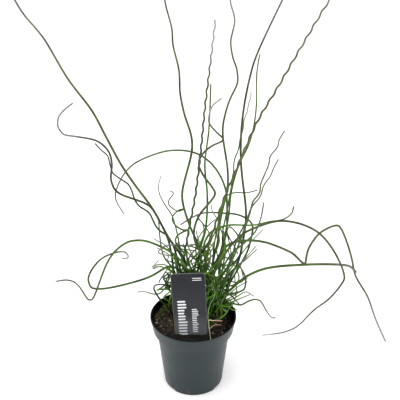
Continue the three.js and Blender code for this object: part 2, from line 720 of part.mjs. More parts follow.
// adds a round's moves to a line's shift above its root, eased along it so that it bends gently
function settle(line, easing) {
  const { points, drawn, shift, moves, touches, fixed } = line;
  const last = points.length - 1;
  for (let i = fixed; i <= last; i += 1) {
    const free = Math.min(1, (i - fixed + 1) / FREED);
    moves[i].divideScalar(Math.max(1, OFTEN_TOUCHED * touches[i])).clampLength(0, MOST_MOVE);
    moves[i].add(clearOfRest(points[i], line.room));
    shift[i].addScaledVector(moves[i], free);
  }
  const before = shift.map((move) => move.clone());
  for (let i = fixed; i < last; i += 1) {
    const beside = before[i - 1].clone().add(before[i + 1]).multiplyScalar(0.5);
    shift[i].lerp(beside, easing);
  }
  for (let i = fixed; i <= last; i += 1) points[i].copy(drawn[i]).add(shift[i]);
}

// ---------------------------------------------------------------- plant

function body(line) {
  const { points, fixed, radius, tip, sides } = line;
  if (line.radii) return sweep(points, line.radii, sides, true);
  const kept = trimmed(points, fixed - 1, line.trim);
  const radii = kept.map((i) => {
    const share = i / (points.length - 1);
    const narrowed = THREE.MathUtils.smoothstep(share, TAPER.from, 1);
    return stout(radius * mix(1, tip, narrowed), sides);
  });
  return sweep(kept.map((i) => points[i]), radii, sides);
}

function plantLines() {
  const lines = Object.entries(LONG_STEMS).map(([name, spec]) => longStem(name, spec));
  for (const [tuft, spec] of Object.entries(TUFTS)) {
    const draw = drawFrom(spec.seed);
    lines.push(tuftFoot(tuft, spec.root));
    for (let i = 0; i < spec.curls; i += 1) lines.push(curl(tuft, i, spec, draw));
    spec.wisps.forEach((route, i) => lines.push(wisp(tuft, spec.root, i, route)));
  }
  bendClear(lines);
  return lines;
}

function plantMeshes(lines) {
  const families = new Map();
  for (const line of lines) {
    if (!families.has(line.family)) families.set(line.family, []);
    families.get(line.family).push(body(line));
  }
  return [...families].map(([name, bodies]) => {
    const single = bodies.length === 1;
    const geometry = single ? welded(bodies[0]) : toGeometry(joinAll(bodies.map(toSolid)));
    const material = single ? LONG_STEMS[name].colour : brightGreen;
    geometry.computeVertexNormals();
    return named(name, geometry, material);
  });
}

// ---------------------------------------------------------------- pot, soil and tag

function potProfile() {
  const { rimRadius, height, baseRadius, wall, floor, shoulderRadius, collarRadius } = POT;
  const { lip, bead, rimWidth, ease } = POT;
  const seat = height - POT.collarHeight;
  const slope = (shoulderRadius - baseRadius) / seat;
  const flare = (rimRadius - lip - collarRadius) / POT.collarHeight;
  return [
    [0, 0],
    [baseRadius - ease, 0],
    [baseRadius, ease],
    [shoulderRadius, seat],
    [collarRadius - ease, seat],
    [collarRadius, seat + ease],
    [rimRadius - lip, height - bead - lip],
    [rimRadius, height - bead],
    [rimRadius, height - ease],
    [rimRadius - ease, height],
    [rimRadius - rimWidth, height],
    [rimRadius - lip - wall, height - bead],
    [collarRadius - wall + flare * wall, seat + wall],
    [shoulderRadius - wall, seat + wall],
    [baseRadius - wall + slope * floor, floor],
    [0, floor],
  ];
}

function pot() {
  const shell = toSolid(turned(potProfile(), POT.sides));
  const drains = [];
  for (let i = 0; i < POT.drains; i += 1) {
    const depth = POT.drainReach + 2;
    const slot = new THREE.BoxGeometry(depth, POT.drainWidth, 2 * POT.drainHeight);
    slot.translate(POT.baseRadius - POT.drainReach + depth / 2, 0, 0);
    slot.rotateZ(radians(POT.firstDrain) + (turn * i) / POT.drains);
    drains.push(toSolid(slot));
  }
  return named("pot", toGeometry(cutAll(shell, drains)), potPlastic);
}

// the lie of the soil: a low dome with crumbs and hollows
function soilHeight(x, y) {
  const out = Math.hypot(x, y) / POT.collarRadius;
  const crumbs = Math.sin(0.31 * x + 1.3) * Math.cos(0.27 * y - 0.4) + Math.sin(0.19 * (x + 1.7 * y));
  return SOIL.edge + SOIL.dome * (1 - out * out) + 0.5 * SOIL.bump * crumbs;
}

function soilBlank() {
  const [collarTop, ledgeOuter, ledgeInner, base] = potProfile().slice(-5, -1);
  const gap = SOIL.clearance;
  const share = (SOIL.edge - ledgeOuter[1]) / (collarTop[1] - ledgeOuter[1]);
  const edgeRadius = mix(ledgeOuter[0], collarTop[0], share) - 1.5 * gap;
  const profile = [
    [0, base[1] + gap],
    [base[0] - gap, base[1] + gap],
    [ledgeInner[0] - gap, ledgeInner[1]],
    [ledgeInner[0] - gap, ledgeInner[1] + gap],
    [ledgeOuter[0] - 1.5 * gap, ledgeOuter[1] + gap],
    [edgeRadius, SOIL.edge],
  ];
  for (let i = SOIL.rings - 1; i >= 0; i -= 1) {
    profile.push([(edgeRadius * i) / SOIL.rings, SOIL.edge + SOIL.dome]);
  }
  const blank = welded(turned(profile, SOIL.sides));
  const place = blank.attributes.position;
  for (let i = 0; i < place.count; i += 1) {
    const [x, y, z] = [place.getX(i), place.getY(i), place.getZ(i)];
    if (z > SOIL.edge + 0.1) place.setZ(i, soilHeight(x, y));
  }
  return blank;
}

function plumbHole({ x, y }, reach) {
  const width = (reach + ROOT.play) / Math.cos(Math.PI / ROOT.holeSides);
  const middle = ROOT.bottom - ROOT.holeBelow + ROOT.holeDepth / 2;
  const hole = new THREE.CylinderGeometry(width, width, ROOT.holeDepth, ROOT.holeSides);
  return hole.rotateX(Math.PI / 2).translate(x, y, middle);
}

function soil(lines) {
  const rooted = lines.filter((line) => line.points[0].z < SOIL.edge);
  const holes = rooted.map((line) => toSolid(plumbHole(line.points[0], line.reach)));
  holes.push(toSolid(tagBlade(ROOT.play)));
  return named("soil", toGeometry(cutAll(toSolid(soilBlank()), holes)), pottingSoil);
}

// the tag's blade, or with some play added all round, the slit that it stands in
function tagBlade(play = 0) {
  const half = TAG.width / 2 + play;
  const shoulder = TAG.shoulderWidth / 2 + play;
  const foot = TAG.tipWidth / 2 + play;
  const top = TAG.top + play;
  const { corner } = TAG;
  const outline = new THREE.Shape();
  outline.moveTo(-foot, TAG.tip - play);
  outline.lineTo(foot, TAG.tip - play);
  outline.lineTo(shoulder, TAG.shoulder);
  outline.lineTo(half, top - corner);
  outline.absarc(half - corner, top - corner, corner, 0, turn / 4, false);
  outline.absarc(corner - half, top - corner, corner, turn / 4, turn / 2, false);
  outline.lineTo(-shoulder, TAG.shoulder);
  const depth = TAG.thickness + 2 * play;
  const blade = new THREE.ExtrudeGeometry(outline, { depth, bevelEnabled: false, curveSegments: 4 });
  blade.translate(0, -TAG.middle, -depth / 2);
  blade.rotateX(Math.PI / 2);
  blade.rotateY(-radians(TAG.lean));
  return blade.translate(TAG.centre, TAG.front, TAG.middle);
}

// ---------------------------------------------------------------- assembly

function named(name, geometry, material) {
  const mesh = new THREE.Mesh(geometry, material);
  mesh.name = name;
  return mesh;
}

const lines = plantLines();
const cleanTag = welded(tagBlade());
cleanTag.computeVertexNormals();

const rush = new THREE.Group();
rush.add(pot(), soil(lines), named("tag", cleanTag, tagPlastic), ...plantMeshes(lines));

export default rush;
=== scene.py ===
# Corkscrew rush in a nursery pot: the looks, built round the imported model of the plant.
#
# Metres, +Z up, the pot's underside at the origin and the tag towards -Y. Each stem and tuft of
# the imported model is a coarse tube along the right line. Here the line is read back from the
# tube's rings, smoothed and given a fine round skin. Pot, soil and tag get finer bodies too.

import json
import math
import random

import bmesh
import bpy
import numpy as np
from mathutils import Euler, Matrix, Vector, noise


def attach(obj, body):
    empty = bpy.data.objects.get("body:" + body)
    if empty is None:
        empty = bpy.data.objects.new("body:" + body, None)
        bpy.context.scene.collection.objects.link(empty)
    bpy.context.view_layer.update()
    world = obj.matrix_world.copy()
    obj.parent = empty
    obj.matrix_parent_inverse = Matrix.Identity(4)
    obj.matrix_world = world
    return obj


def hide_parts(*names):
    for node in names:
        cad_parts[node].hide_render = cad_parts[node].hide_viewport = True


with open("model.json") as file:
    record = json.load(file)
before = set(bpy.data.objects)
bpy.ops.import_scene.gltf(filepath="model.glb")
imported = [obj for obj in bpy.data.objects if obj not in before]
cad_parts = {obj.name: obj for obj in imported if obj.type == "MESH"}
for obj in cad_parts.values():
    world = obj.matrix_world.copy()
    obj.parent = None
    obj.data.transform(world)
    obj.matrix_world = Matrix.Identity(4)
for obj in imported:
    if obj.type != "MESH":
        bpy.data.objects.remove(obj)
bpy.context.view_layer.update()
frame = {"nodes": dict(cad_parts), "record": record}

# ---- sizes and places

MM = 0.001


def metres(**sizes):
    """Sizes that are given in mm."""
    return {name: size * MM for name, size in sizes.items()}


POT = metres(
    rim_radius=52.5,
    height=97,
    base_radius=35.6,
    wall=1.3,
    floor=1.5,
    shoulder_radius=44.6,
    collar_radius=49,
    collar_height=19,
    lip=0.6,
    drain_width=22,
    drain_reach=6,
    drain_height=2.6,
)
POT_SIDES = 160
POT_EDGES = ("base", "shoulder", "collar", "rim")  # up its outside
SEAT = POT["height"] - POT["collar_height"]  # height of the step under the collar
EAR = {"angle": 11, "half": 5, "height": 3.8 * MM}  # flash on the rim, angles in degrees
DRAINS = 3
FIRST_DRAIN = -26  # degrees
DRAIN_DRAFT = 0.06  # how much a notch narrows towards its top

SOIL = metres(
    edge=83.5,  # height along the wall
    dome=3.2,
    bump=1.1,
    bank=4.2,  # how much higher it lies along the wall on the left
    radius=47.9,
    wall_gap=0.35,
)
SOIL_RINGS = 66
SOIL_SIDES = 220
BANK_OUT = (30, 16)  # mm from the axis where the bank starts, and over which it rises
BANK_LEFT = (8, 22)  # the same towards the left
BANK_SPREAD = 0.025  # the soil is wider there too, because the wall leans out
GRAINS = ((0.75, 5.5), (0.4, 2.1))  # heights and sizes of the fine crumbs, mm
CLODS = (0.9, 3.4)  # the same for the coarse ones
# painted shade of the pot's wall on the soil: from a share of the radius to the wall, most of all
# on the right
PAINTED_WALL_SHADE = {"from": 0.62, "mean": 0.55, "swing": 0.45, "turn": 0.9, "dark": 0.35}
# a painted shadow of the front wall darkens the soil in front of the tag
PAINTED_FRONT_SHADOW = (3 * MM, 6 * MM)  # also from so far behind the tag's middle, over this depth

TAG = metres(
    width=41,  # along its top edge
    shoulder_width=38.9,
    top=176,
    shoulder=66,
    tip=34,
    tip_width=8,
    thickness=0.9,
    corner=4,
    centre=-4.1,
    front=-24,
    middle=125,  # height of the point that it leans about
    edge=0.18,  # how far its edges are softened
    ground=0.05,  # thickness of the printed ground
    margin=0.5,  # bare plastic round the ground
    ink=0.08,
)
TAG_LEAN = math.radians(2.5)  # top towards -X

STEM_STEP = 2.0 * MM  # spacing of the rings along a stem
SIDES = {"stem": 9, "tuft": 7, "sheath": 7, "dead stem": 8, "fibre": 5, "moss": 3}
SKIN = 1.05  # radius of a fine stem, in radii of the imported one
COARSE_SIDES = (3, 4)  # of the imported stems
COARSE_TIP = 2.0  # how far a packed stem's point stands past its last ring, in ring radii
TIP_SLACK = 0.03  # by how much that may differ
POINT = metres(reach=0.8, radius=0.16)  # the fine point of a stem, past its last ring
FOOT_RINGS = 40  # the rings among which a stem leaves the soil
# feet of a tuft's strands: mm off its middle, radians from one to the next, heights of rings in
# mm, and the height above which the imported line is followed
TUFT_FOOT = {"spread": 1.9, "turn": 2.4, "rings": (72, 80, 88), "free": 95 * MM}
SHEATHS = {"stem": (3, 1.1 * MM), "tuft": (9, 3.0 * MM)}  # how many, and how far from the middle

CRUMBS = 460
FIBRES = 60
FIBRE_STEPS = 8  # along each fibre
# cushions of moss as [x, y, spread, leaves], mm
MOSS_PATCHES = [(-38, 22, 6, 110), (-30, 28, 6, 120), (-42, 12, 4, 30), (34, 24, 5, 40)]
# each dead stem as its radius and its places [x, y, lift off the soil], mm. The first one arches
DEAD_STEMS = [
    (0.75, [(20, -20, -2), (19, -22, 11), (18.6, -24, 19), (20, -25, 22.5), (22, -25, 22),
            (24, -25, 22), (28, -24, 23), (32, -23, 22), (35, -20, 19)]),
    (0.8, [(15, -22, 4), (19.9, -17.5, 4.4), (26.8, -10, 3.6), (34.5, -6, 1.6)]),
    (0.6, [(24, -2, 1.2), (29, -5, 1.0), (34, -5.5, 0.9)]),
]
# stems whose tips are bleached: from which share of the length, and how much
UNBLEACHED = (1, 0)
BLEACHED = dict(
    stem_great_bow=(0.95, 0.75),
    stem_far_left_hook=(0.8, 0.22),
    stem_far_right_fall=(0.85, 0.3),
    stem_centre_corkscrew=(0.84, 0.5),
    stem_big_corkscrew=(0.88, 0.5),
    stem_tall_curve=(0.85, 0.3),
    stem_left_low_loop=(0.88, 0.55),
    stem_arch_over=(0.93, 0.4),
    stem_thin_twist=(0.82, 0.35),
    stem_low_right_tail=(0.85, 0.25),
    stem_left_back_wave=(0.9, 0.35),
    stem_right_twist_long=(0.5, 0.14),
    stem_right_twist_short=(0.6, 0.14),
)
# how much lighter or darker than their kind some stems and tufts are, as a shift of their tone
SHADES = dict(
    stem_low_left_curl=-1.1,
    stem_left_curl=-0.5,
    stem_left_straight=-0.6,
    stem_left_stair=-0.5,
    stem_left_high_loop=-0.4,
    stem_tall_wave=-0.3,
    stem_centre_upright=-0.3,
    stem_big_corkscrew=-0.5,
    stem_arch_over=0.3,
    stem_great_bow=0.25,
    stem_right_twist_long=-0.35,
    stem_right_twist_short=-0.2,
    stem_far_right_fall=0.25,
    stem_low_right_tail=0.3,
    stem_left_low_loop=-0.2,
    tuft_left_back=-0.5,
    tuft_left_front=-0.6,
    tuft_middle=-0.5,
    tuft_middle_front=-0.8,
    tuft_middle_right=-0.3,
    tuft_right_front=-0.8,
)
DARKEST = -1.2  # the tone of the darkest stems
# the thinnest strands of a tuft: below which radius, how much stouter, and how bleached
WISP = {"below": 0.95 * MM, "stouter": 1.25, "bleached": (0.72, 0.35)}
STEM_MARKS = ("reach", "along", "tone", "bleach")  # values kept at every corner of a stem
# strands that lie in front of the tufts, each as its radius and its places [x, y, z], mm
BRIGHT_STRANDS = [
    (1.2, [(9.5, 19.5, 84), (12, 19, 92), (15, 20.5, 98), (18.3, 17.6, 106), (23, 15.7, 118),
           (29, 12.6, 130)]),
    (1.4, [(12.5, 21.5, 84), (17, 19, 92), (27, 18.2, 97), (35.6, 18.7, 103), (44, 20.5, 107),
           (57, 24.3, 114)]),
    (1.2, [(13.5, 8.5, 84), (19, 14, 96), (32, 25, 101), (42, 33, 106), (55, 48, 109),
           (68, 62, 108)]),
]
# the same for dark curls: two in the middle of the clump, two beside the tag, an arc on the left
DARK_STRANDS = [
    (1.05, [(9, 6, 84), (14, 8, 118), (22, 8, 151), (30, 6, 171), (39, 6, 186), (46, 8, 196),
            (52, 10, 200), (59, 14, 203)]),
    (1.0, [(13, 4, 84), (18, 4, 110), (27, 4, 138), (39, 4, 160), (52, 2, 178), (58, 2, 194),
           (54, 4, 207), (50, 6, 214), (43, 8, 220), (40, 4, 217), (42, 2, 210), (46, 2, 202),
           (50, 2, 194), (53, 0, 187)]),
    (0.9, [(-14, -12, 84), (-16, -13, 108), (-18, -14, 130), (-20, -17, 150), (-24, -18, 164),
           (-28, -20, 171), (-33, -22, 171), (-38, -24, 168), (-40, -25, 163)]),
    (0.9, [(-12, -13, 84), (-15, -14, 104), (-18, -14, 123), (-20, -18, 142), (-25, -20, 153),
           (-29, -22, 158), (-33, -24, 165), (-35, -24, 171), (-32, -22, 176), (-29, -20, 172),
           (-29, -20, 165), (-33, -21, 158), (-38, -22, 153)]),
    (0.85, [(-4, -6, 84), (-6, -8, 125), (-8, -8, 162), (-9, -6, 180), (-13, -6, 197),
            (-19, -6, 203), (-27, -8, 205), (-31, -9, 205), (-35, -10, 204)]),
]
# a thin pale strand that rises behind the tag and falls over the front of the rim
PALE_STRAND = (0.55, [(17, -13.5, 84), (17.4, -13, 100), (17.8, -13, 130), (19.4, -14.5, 149),
                      (23.6, -20, 154), (26, -24, 150.5), (25.2, -27, 145), (21, -29.6, 137),
                      (18.4, -32, 128.5), (17.7, -35, 121.9), (18.1, -39, 116.1),
                      (18.9, -44, 109.5), (20.1, -49, 104.5), (20.9, -52.4, 100.5)])
# columns of bars on the tag: middle, first and last place up, count, widest, height, mm
PRINTED_BARS = [
    (-8.3, 10.5, -37.5, 12, 12.0, 2.3),
    (6.6, -1.5, -34.5, 13, 8.4, 1.3),
    (10.5, 43.8, 41.0, 2, 11.0, 0.9),
]
SHORTEST_BAR = 0.62  # share of the widest

# the rush's skin: heights over the soil, how its light goes with the tone and in patches, and the
# painted shade low down
RUSH = {
    "sheath_end": (10 * MM, 46 * MM),
    "grown_from": 30 * MM,
    "all_dry": 1.03,  # share of the length
    "by_tone": 0.6,
    "least_light": 0.68,
    "by_patch": 0.72,
    "lit_above": 65 * MM,
    "light_at_foot": 0.55,
    "ribs": 14,
}

CAMERA_PLACE = (0.00825, -1.19251, 0.99521)
CAMERA_DOWN = 31.59  # degrees below the horizon
CAMERA_LENS = 109.58  # mm, on a 36 mm sensor


# ---- camera, floor and light

def in_scene(name, data, place=(0, 0, 0)):
    """A new object in the scene."""
    made = bpy.data.objects.new(name, data)
    made.location = place
    bpy.context.scene.collection.objects.link(made)
    return made


def point_camera():
    data = bpy.data.cameras.new("camera")
    data.lens = CAMERA_LENS
    data.sensor_width = 36
    data.clip_end = 20
    camera = in_scene("camera", data, CAMERA_PLACE)
    camera.rotation_euler = (math.radians(90 - CAMERA_DOWN), 0, 0)
    bpy.context.scene.camera = camera


def softbox(name, place, aim, size, power):
    data = bpy.data.lights.new(name, "AREA")
    data.shape = "RECTANGLE"
    data.size, data.size_y = size
    data.energy = power
    direction = Vector(aim) - Vector(place)
    light = in_scene(name, data, place)
    light.rotation_euler = direction.to_track_quat("-Z", "Y").to_euler()


def light_studio():
    world = bpy.data.worlds.new("studio")
    world.use_nodes = True
    background = world.node_tree.nodes["Background"]
    background.inputs["Color"].default_value = (1, 1, 1, 1)
    background.inputs["Strength"].default_value = 0.82
    bpy.context.scene.world = world
    softbox("overhead", (-0.3, -0.2, 1.9), (0, 0, 0.2), (1.8, 1.8), 28)
    softbox("front key", (0.9, -1.7, 1.1), (0, 0, 0.15), (0.9, 0.9), 9)
    bpy.context.scene.view_settings.view_transform = "Standard"


# ---- shader helpers

def node(tree, kind, **settings):
    made = tree.nodes.new(kind)
    for name, value in settings.items():
        setattr(made, name, value)
    return made


def wire(tree, source, target):
    """Joins two sockets, or sets a plain value on the target."""
    if isinstance(source, bpy.types.NodeSocket):
        tree.links.new(source, target)
    else:
        target.default_value = source


def mark(tree, name):
    """A value that is stored along a mesh under that name."""
    return node(tree, "ShaderNodeAttribute", attribute_name=name).outputs["Fac"]


def sums(tree, operation, first, second=0.0, clamp=False):
    made = node(tree, "ShaderNodeMath", operation=operation, use_clamp=clamp)
    wire(tree, first, made.inputs[0])
    wire(tree, second, made.inputs[1])
    return made.outputs[0]


def scaled(tree, value, factor, offset):
    """The value times a factor, plus an offset."""
    return sums(tree, "ADD", sums(tree, "MULTIPLY", value, factor), offset)


def ramp(tree, value, low, high, to_low=0.0, to_high=1.0):
    """The value eased from one range to another."""
    made = node(tree, "ShaderNodeMapRange", interpolation_type="SMOOTHSTEP")
    for socket, source in zip(made.inputs, (value, low, high, to_low, to_high)):
        wire(tree, source, socket)
    return made.outputs["Result"]


def between(tree, mask, least, most):
    """From the least value to the most as the mask goes from 0 to 1."""
    return ramp(tree, mask, 0.0, 1.0, least, most)


def height_at(tree):
    """How high each place on the object stands."""
    parts = node(tree, "ShaderNodeSeparateXYZ")
    wire(tree, node(tree, "ShaderNodeTexCoord").outputs["Object"], parts.inputs[0])
    return parts.outputs[2]


def blend(tree, share, first, second):
    """From the first colour to the second as the share goes from 0 to 1."""
    made = node(tree, "ShaderNodeMix", data_type="RGBA")
    wire(tree, share, made.inputs[0])
    wire(tree, first, made.inputs[6])
    wire(tree, second, made.inputs[7])
    return made.outputs[2]


def specks(tree, scale, detail, roughness=0.5):
    """Noise fixed to the object, from 0 to 1."""
    place = node(tree, "ShaderNodeTexCoord").outputs["Object"]
    made = node(tree, "ShaderNodeTexNoise")
    wire(tree, place, made.inputs["Vector"])
    wire(tree, scale, made.inputs["Scale"])
    made.inputs["Detail"].default_value = detail
    made.inputs["Roughness"].default_value = roughness
    return made.outputs[0]


def shader_group(name, takes, gives):
    """A node group with named sockets: a colour's starting value is a tuple, a number's isn't."""
    tree = bpy.data.node_groups.new(name, "ShaderNodeTree")
    for way, sockets in (("INPUT", takes), ("OUTPUT", gives)):
        for label, value in sockets.items():
            kind = "NodeSocketColor" if isinstance(value, tuple) else "NodeSocketFloat"
            made = tree.interface.new_socket(label, in_out=way, socket_type=kind)
            made.default_value = value
    start = node(tree, "NodeGroupInput")
    end = node(tree, "NodeGroupOutput")
    return tree, start.outputs, end.inputs


def placed(tree, group, **values):
    made = node(tree, "ShaderNodeGroup", node_tree=group)
    for label, value in values.items():
        wire(tree, value, made.inputs[label.replace("_", " ")])
    return made.outputs


def rgba(*screen):
    """A colour given as it looks on a screen, 0 to 255, in the shader's linear values."""
    shares = [value / 255 for value in screen]
    return (*(share / 12.92 if share <= 0.04045 else ((share + 0.055) / 1.055) ** 2.4
              for share in shares), 1.0)


def rush_skin_group():
    """Colour of a rush stem along its length: sheath, young green, grown green, dry tip."""
    tree, takes, gives = shader_group(
        "rush skin",
        {
            "Sheath": rgba(62, 54, 20),
            "Young": (0.2, 0.3, 0.05, 1),
            "Grown": (0.1, 0.2, 0.04, 1),
            "Dry": (0.2, 0.18, 0.15, 1),
            "Bleached": rgba(180, 179, 173),
            "Grown at": 0.2,
            "Dry from": 0.8,
        },
        {"Colour": (0, 0, 0, 1), "Roughness": 0.5, "Height": 0.0},
    )
    reach, along, tone, bleach = (mark(tree, name) for name in STEM_MARKS)
    patches = specks(tree, 70.0, 3.0)
    uneven = sums(tree, "MULTIPLY", patches, 0.02)
    out_of_sheath = ramp(tree, sums(tree, "ADD", reach, uneven), *RUSH["sheath_end"])
    green = blend(tree, out_of_sheath, takes["Sheath"], takes["Young"])
    aged = ramp(tree, reach, RUSH["grown_from"], takes["Grown at"])
    green = blend(tree, aged, green, takes["Grown"])
    drying = ramp(tree, sums(tree, "ADD", along, uneven), takes["Dry from"], RUSH["all_dry"])
    shift = node(tree, "ShaderNodeHueSaturation")
    wire(tree, blend(tree, drying, green, takes["Dry"]), shift.inputs["Color"])
    # lighter and darker stretches, and painted shade between the feet of the stems
    lightness = scaled(tree, tone, RUSH["by_tone"], RUSH["least_light"])
    lightness = scaled(tree, ramp(tree, patches, 0.36, 0.64), RUSH["by_patch"], lightness)
    foot_shade = ramp(tree, reach, 0.0, RUSH["lit_above"], RUSH["light_at_foot"], 1.0)
    wire(tree, sums(tree, "MULTIPLY", lightness, foot_shade), shift.inputs["Value"])
    wire(tree, scaled(tree, tone, -0.014, 0.494), shift.inputs["Hue"])
    wire(tree, blend(tree, bleach, shift.outputs[0], takes["Bleached"]), gives["Colour"])
    wire(tree, ramp(tree, patches, 0.3, 0.7, 0.36, 0.52), gives["Roughness"])
    # fine ribs that run along the stem
    around = node(tree, "ShaderNodeUVMap", uv_map="around")
    parts = node(tree, "ShaderNodeSeparateXYZ")
    wire(tree, around.outputs[0], parts.inputs[0])
    turns = 2 * math.pi * RUSH["ribs"]
    ribs = sums(tree, "SINE", sums(tree, "MULTIPLY", parts.outputs[0], turns))
    wire(tree, scaled(tree, ribs, 0.5, 0.5), gives["Height"])
    return tree


def grain_group():
    """Fine irregular grain: a light and dark mask, and a height."""
    tree, takes, gives = shader_group("grain", {"Coarse": 60.0, "Fine": 900.0},
                                      {"Mask": 0.0, "Height": 0.0})
    coarse = specks(tree, takes["Coarse"], 3.0)
    fine = specks(tree, takes["Fine"], 2.0, 0.6)
    wire(tree, ramp(tree, coarse, 0.32, 0.68), gives["Mask"])
    wire(tree, scaled(tree, coarse, 0.3, fine), gives["Height"])
    return tree


def dust_group():
    """Where soil dust lies: in patches, and more of it below a height."""
    takes = {"Full below": 0.0, "None above": 0.02, "Patches": 0.3}
    tree, takes, gives = shader_group("dust", takes, {"Mask": 0.0})
    low = ramp(tree, height_at(tree), takes["Full below"], takes["None above"], 1.0, 0.0)
    spots = ramp(tree, specks(tree, 240.0, 4.0, 0.65), 0.5, 0.72)
    amount = scaled(tree, low, 0.6, takes["Patches"])
    wire(tree, sums(tree, "MULTIPLY", spots, amount, clamp=True), gives["Mask"])
    return tree


rush_skin = rush_skin_group()
grain = grain_group()
dust = dust_group()


def finish_named(name, gloss=0.5):
    """A new material: its tree and its Principled shader, whose specular level is the gloss."""
    material = bpy.data.materials.new(name)
    material.use_nodes = True
    tree = material.node_tree
    shader = tree.nodes["Principled BSDF"]
    shader.inputs["Specular IOR Level"].default_value = gloss
    return material, tree, shader


def lay_on(tree, shader, colour, rough, height, strength, depth):
    """Gives a shader its colour and roughness, and a relief from the height."""
    wire(tree, colour, shader.inputs["Base Color"])
    wire(tree, rough, shader.inputs["Roughness"])
    relief = node(tree, "ShaderNodeBump")
    relief.inputs["Strength"].default_value = strength
    relief.inputs["Distance"].default_value = depth
    wire(tree, height, relief.inputs["Height"])
    wire(tree, relief.outputs[0], shader.inputs["Normal"])


def stem_finish(name, young, grown, dry, grown_at, dry_from):
    material, tree, shader = finish_named(name, 0.22)
    skin = placed(tree, rush_skin, Young=young, Grown=grown, Dry=dry, Grown_at=grown_at,
                  Dry_from=dry_from)
    lay_on(tree, shader, skin["Colour"], skin["Roughness"], skin["Height"], 0.35, 0.05 * MM)
    return material


STEM_FINISHES = {
    "stem_dark": stem_finish("dark stem", rgba(47, 76, 16), rgba(68, 74, 43),
                             rgba(93, 96, 87), 0.34, 0.72),
    "stem_mid": stem_finish("mid green stem", rgba(54, 92, 20), rgba(65, 78, 39),
                            rgba(94, 98, 78), 0.36, 0.74),
    "stem_bright": stem_finish("bright green stem", rgba(74, 118, 27), rgba(66, 93, 28),
                               rgba(94, 98, 64), 0.36, 0.8),
}


def dead_stem_finish():
    material, tree, shader = finish_named("dead stem")
    spots = placed(tree, grain, Coarse=300.0, Fine=1600.0)
    colour = blend(tree, spots["Mask"], rgba(236, 200, 182), rgba(248, 228, 214))
    ageing = blend(tree, mark(tree, "along"), colour, rgba(206, 158, 136))
    lay_on(tree, shader, ageing, 0.62, spots["Height"], 0.4, 0.1 * MM)
    return material


def soil_finish(name, dark, light, bits="shade"):
    """Potting soil; a mark kept on the mesh tells light bits from dark ones."""
    material, tree, shader = finish_named(name, 0.25)
    spots = placed(tree, grain, Coarse=420.0, Fine=2400.0)
    shade = scaled(tree, spots["Mask"], 0.35, mark(tree, bits))
    colour = blend(tree, ramp(tree, shade, 0.1, 1.1), dark, light)
    rough = between(tree, spots["Mask"], 0.78, 0.96)
    lay_on(tree, shader, colour, rough, spots["Height"], 0.7, 0.5 * MM)
    return material


def pot_finish():
    material, tree, shader = finish_named("pot plastic")
    moulded = placed(tree, grain, Coarse=34.0, Fine=1500.0)
    soiled = placed(tree, dust, Full_below=0.0, None_above=0.014, Patches=0.05)
    plastic = blend(tree, moulded["Mask"], rgba(8, 28, 32), rgba(13, 33, 37))
    dusty = blend(tree, soiled["Mask"], plastic, rgba(70, 66, 58))
    # painted contact shadow: the lowest few mm of the foot are darker
    foot = ramp(tree, height_at(tree), 0.4 * MM, 2.6 * MM, 0.85, 0.0)
    outside = blend(tree, foot, dusty, rgba(8, 10, 11))
    # painted shade: the inside of the pot is near-black and less glossy
    inside = mark(tree, "inside")
    colour = blend(tree, inside, outside, rgba(6, 7, 7))
    wire(tree, between(tree, inside, 0.4, 0.12), shader.inputs["Specular IOR Level"])
    rough = between(tree, moulded["Mask"], 0.4, 0.47)
    lay_on(tree, shader, colour, rough, moulded["Height"], 0.12, 0.12 * MM)
    return material


def tag_finish(name, colour, worn, lower_colour, roughness, gloss):
    """Plastic of the tag: mottled with a worn colour, and blended towards a lower colour near the
    soil. On the printed ground and the ink that colour is lighter: painted light that lifts the
    shade there.
    """
    material, tree, shader = finish_named(name, gloss)
    moulded = placed(tree, grain, Coarse=90.0, Fine=1800.0)
    soiled = placed(tree, dust, Full_below=84 * MM, None_above=94 * MM, Patches=0.02)
    surface = blend(tree, moulded["Mask"], colour, worn)
    height = height_at(tree)
    # painted light: the ground and the ink grow lighter towards the soil, where the rim's shade
    # falls; the bare plastic grows darker
    upper_share = ramp(tree, height, 104 * MM, TAG["top"], 0.16, 0.0)
    lower_share = ramp(tree, height, 88 * MM, 120 * MM, 1.0, upper_share)
    surface = blend(tree, lower_share, surface, lower_colour)
    dusty = blend(tree, soiled["Mask"], surface, rgba(70, 62, 52))
    rough = between(tree, moulded["Mask"], roughness, roughness + 0.08)
    lay_on(tree, shader, dusty, rough, moulded["Height"], 0.08, 0.08 * MM)
    return material


DEAD_STEM = dead_stem_finish()
SOIL_FINISH = soil_finish("potting soil", rgba(12, 10, 8), rgba(66, 54, 42))
CRUMB_FINISH = soil_finish("soil crumbs", rgba(30, 26, 22), rgba(146, 128, 110))
FIBRE_FINISH = soil_finish("root fibres", rgba(56, 42, 28), rgba(112, 96, 70), "tone")
MOSS_FINISH = soil_finish("moss", rgba(44, 54, 24), rgba(108, 120, 60), "tone")
SHEATH_FINISH = soil_finish("foot sheath", rgba(70, 52, 22), rgba(128, 128, 48), "tone")
POT_FINISH = pot_finish()
TAG_CORE = tag_finish("tag plastic", rgba(92, 98, 94), rgba(104, 108, 104),
                      rgba(80, 84, 82), 0.42, 0.3)
# the lower colours of the printed ground and the ink are lighter: painted light against the shade
# near the soil
TAG_FACE = tag_finish("tag print ground", rgba(36, 37, 41), rgba(40, 41, 45),
                      rgba(104, 107, 112), 0.5, 0.12)
TAG_INK = tag_finish("tag white ink", rgba(218, 221, 224), rgba(228, 230, 231),
                     rgba(238, 240, 240), 0.5, 0.2)


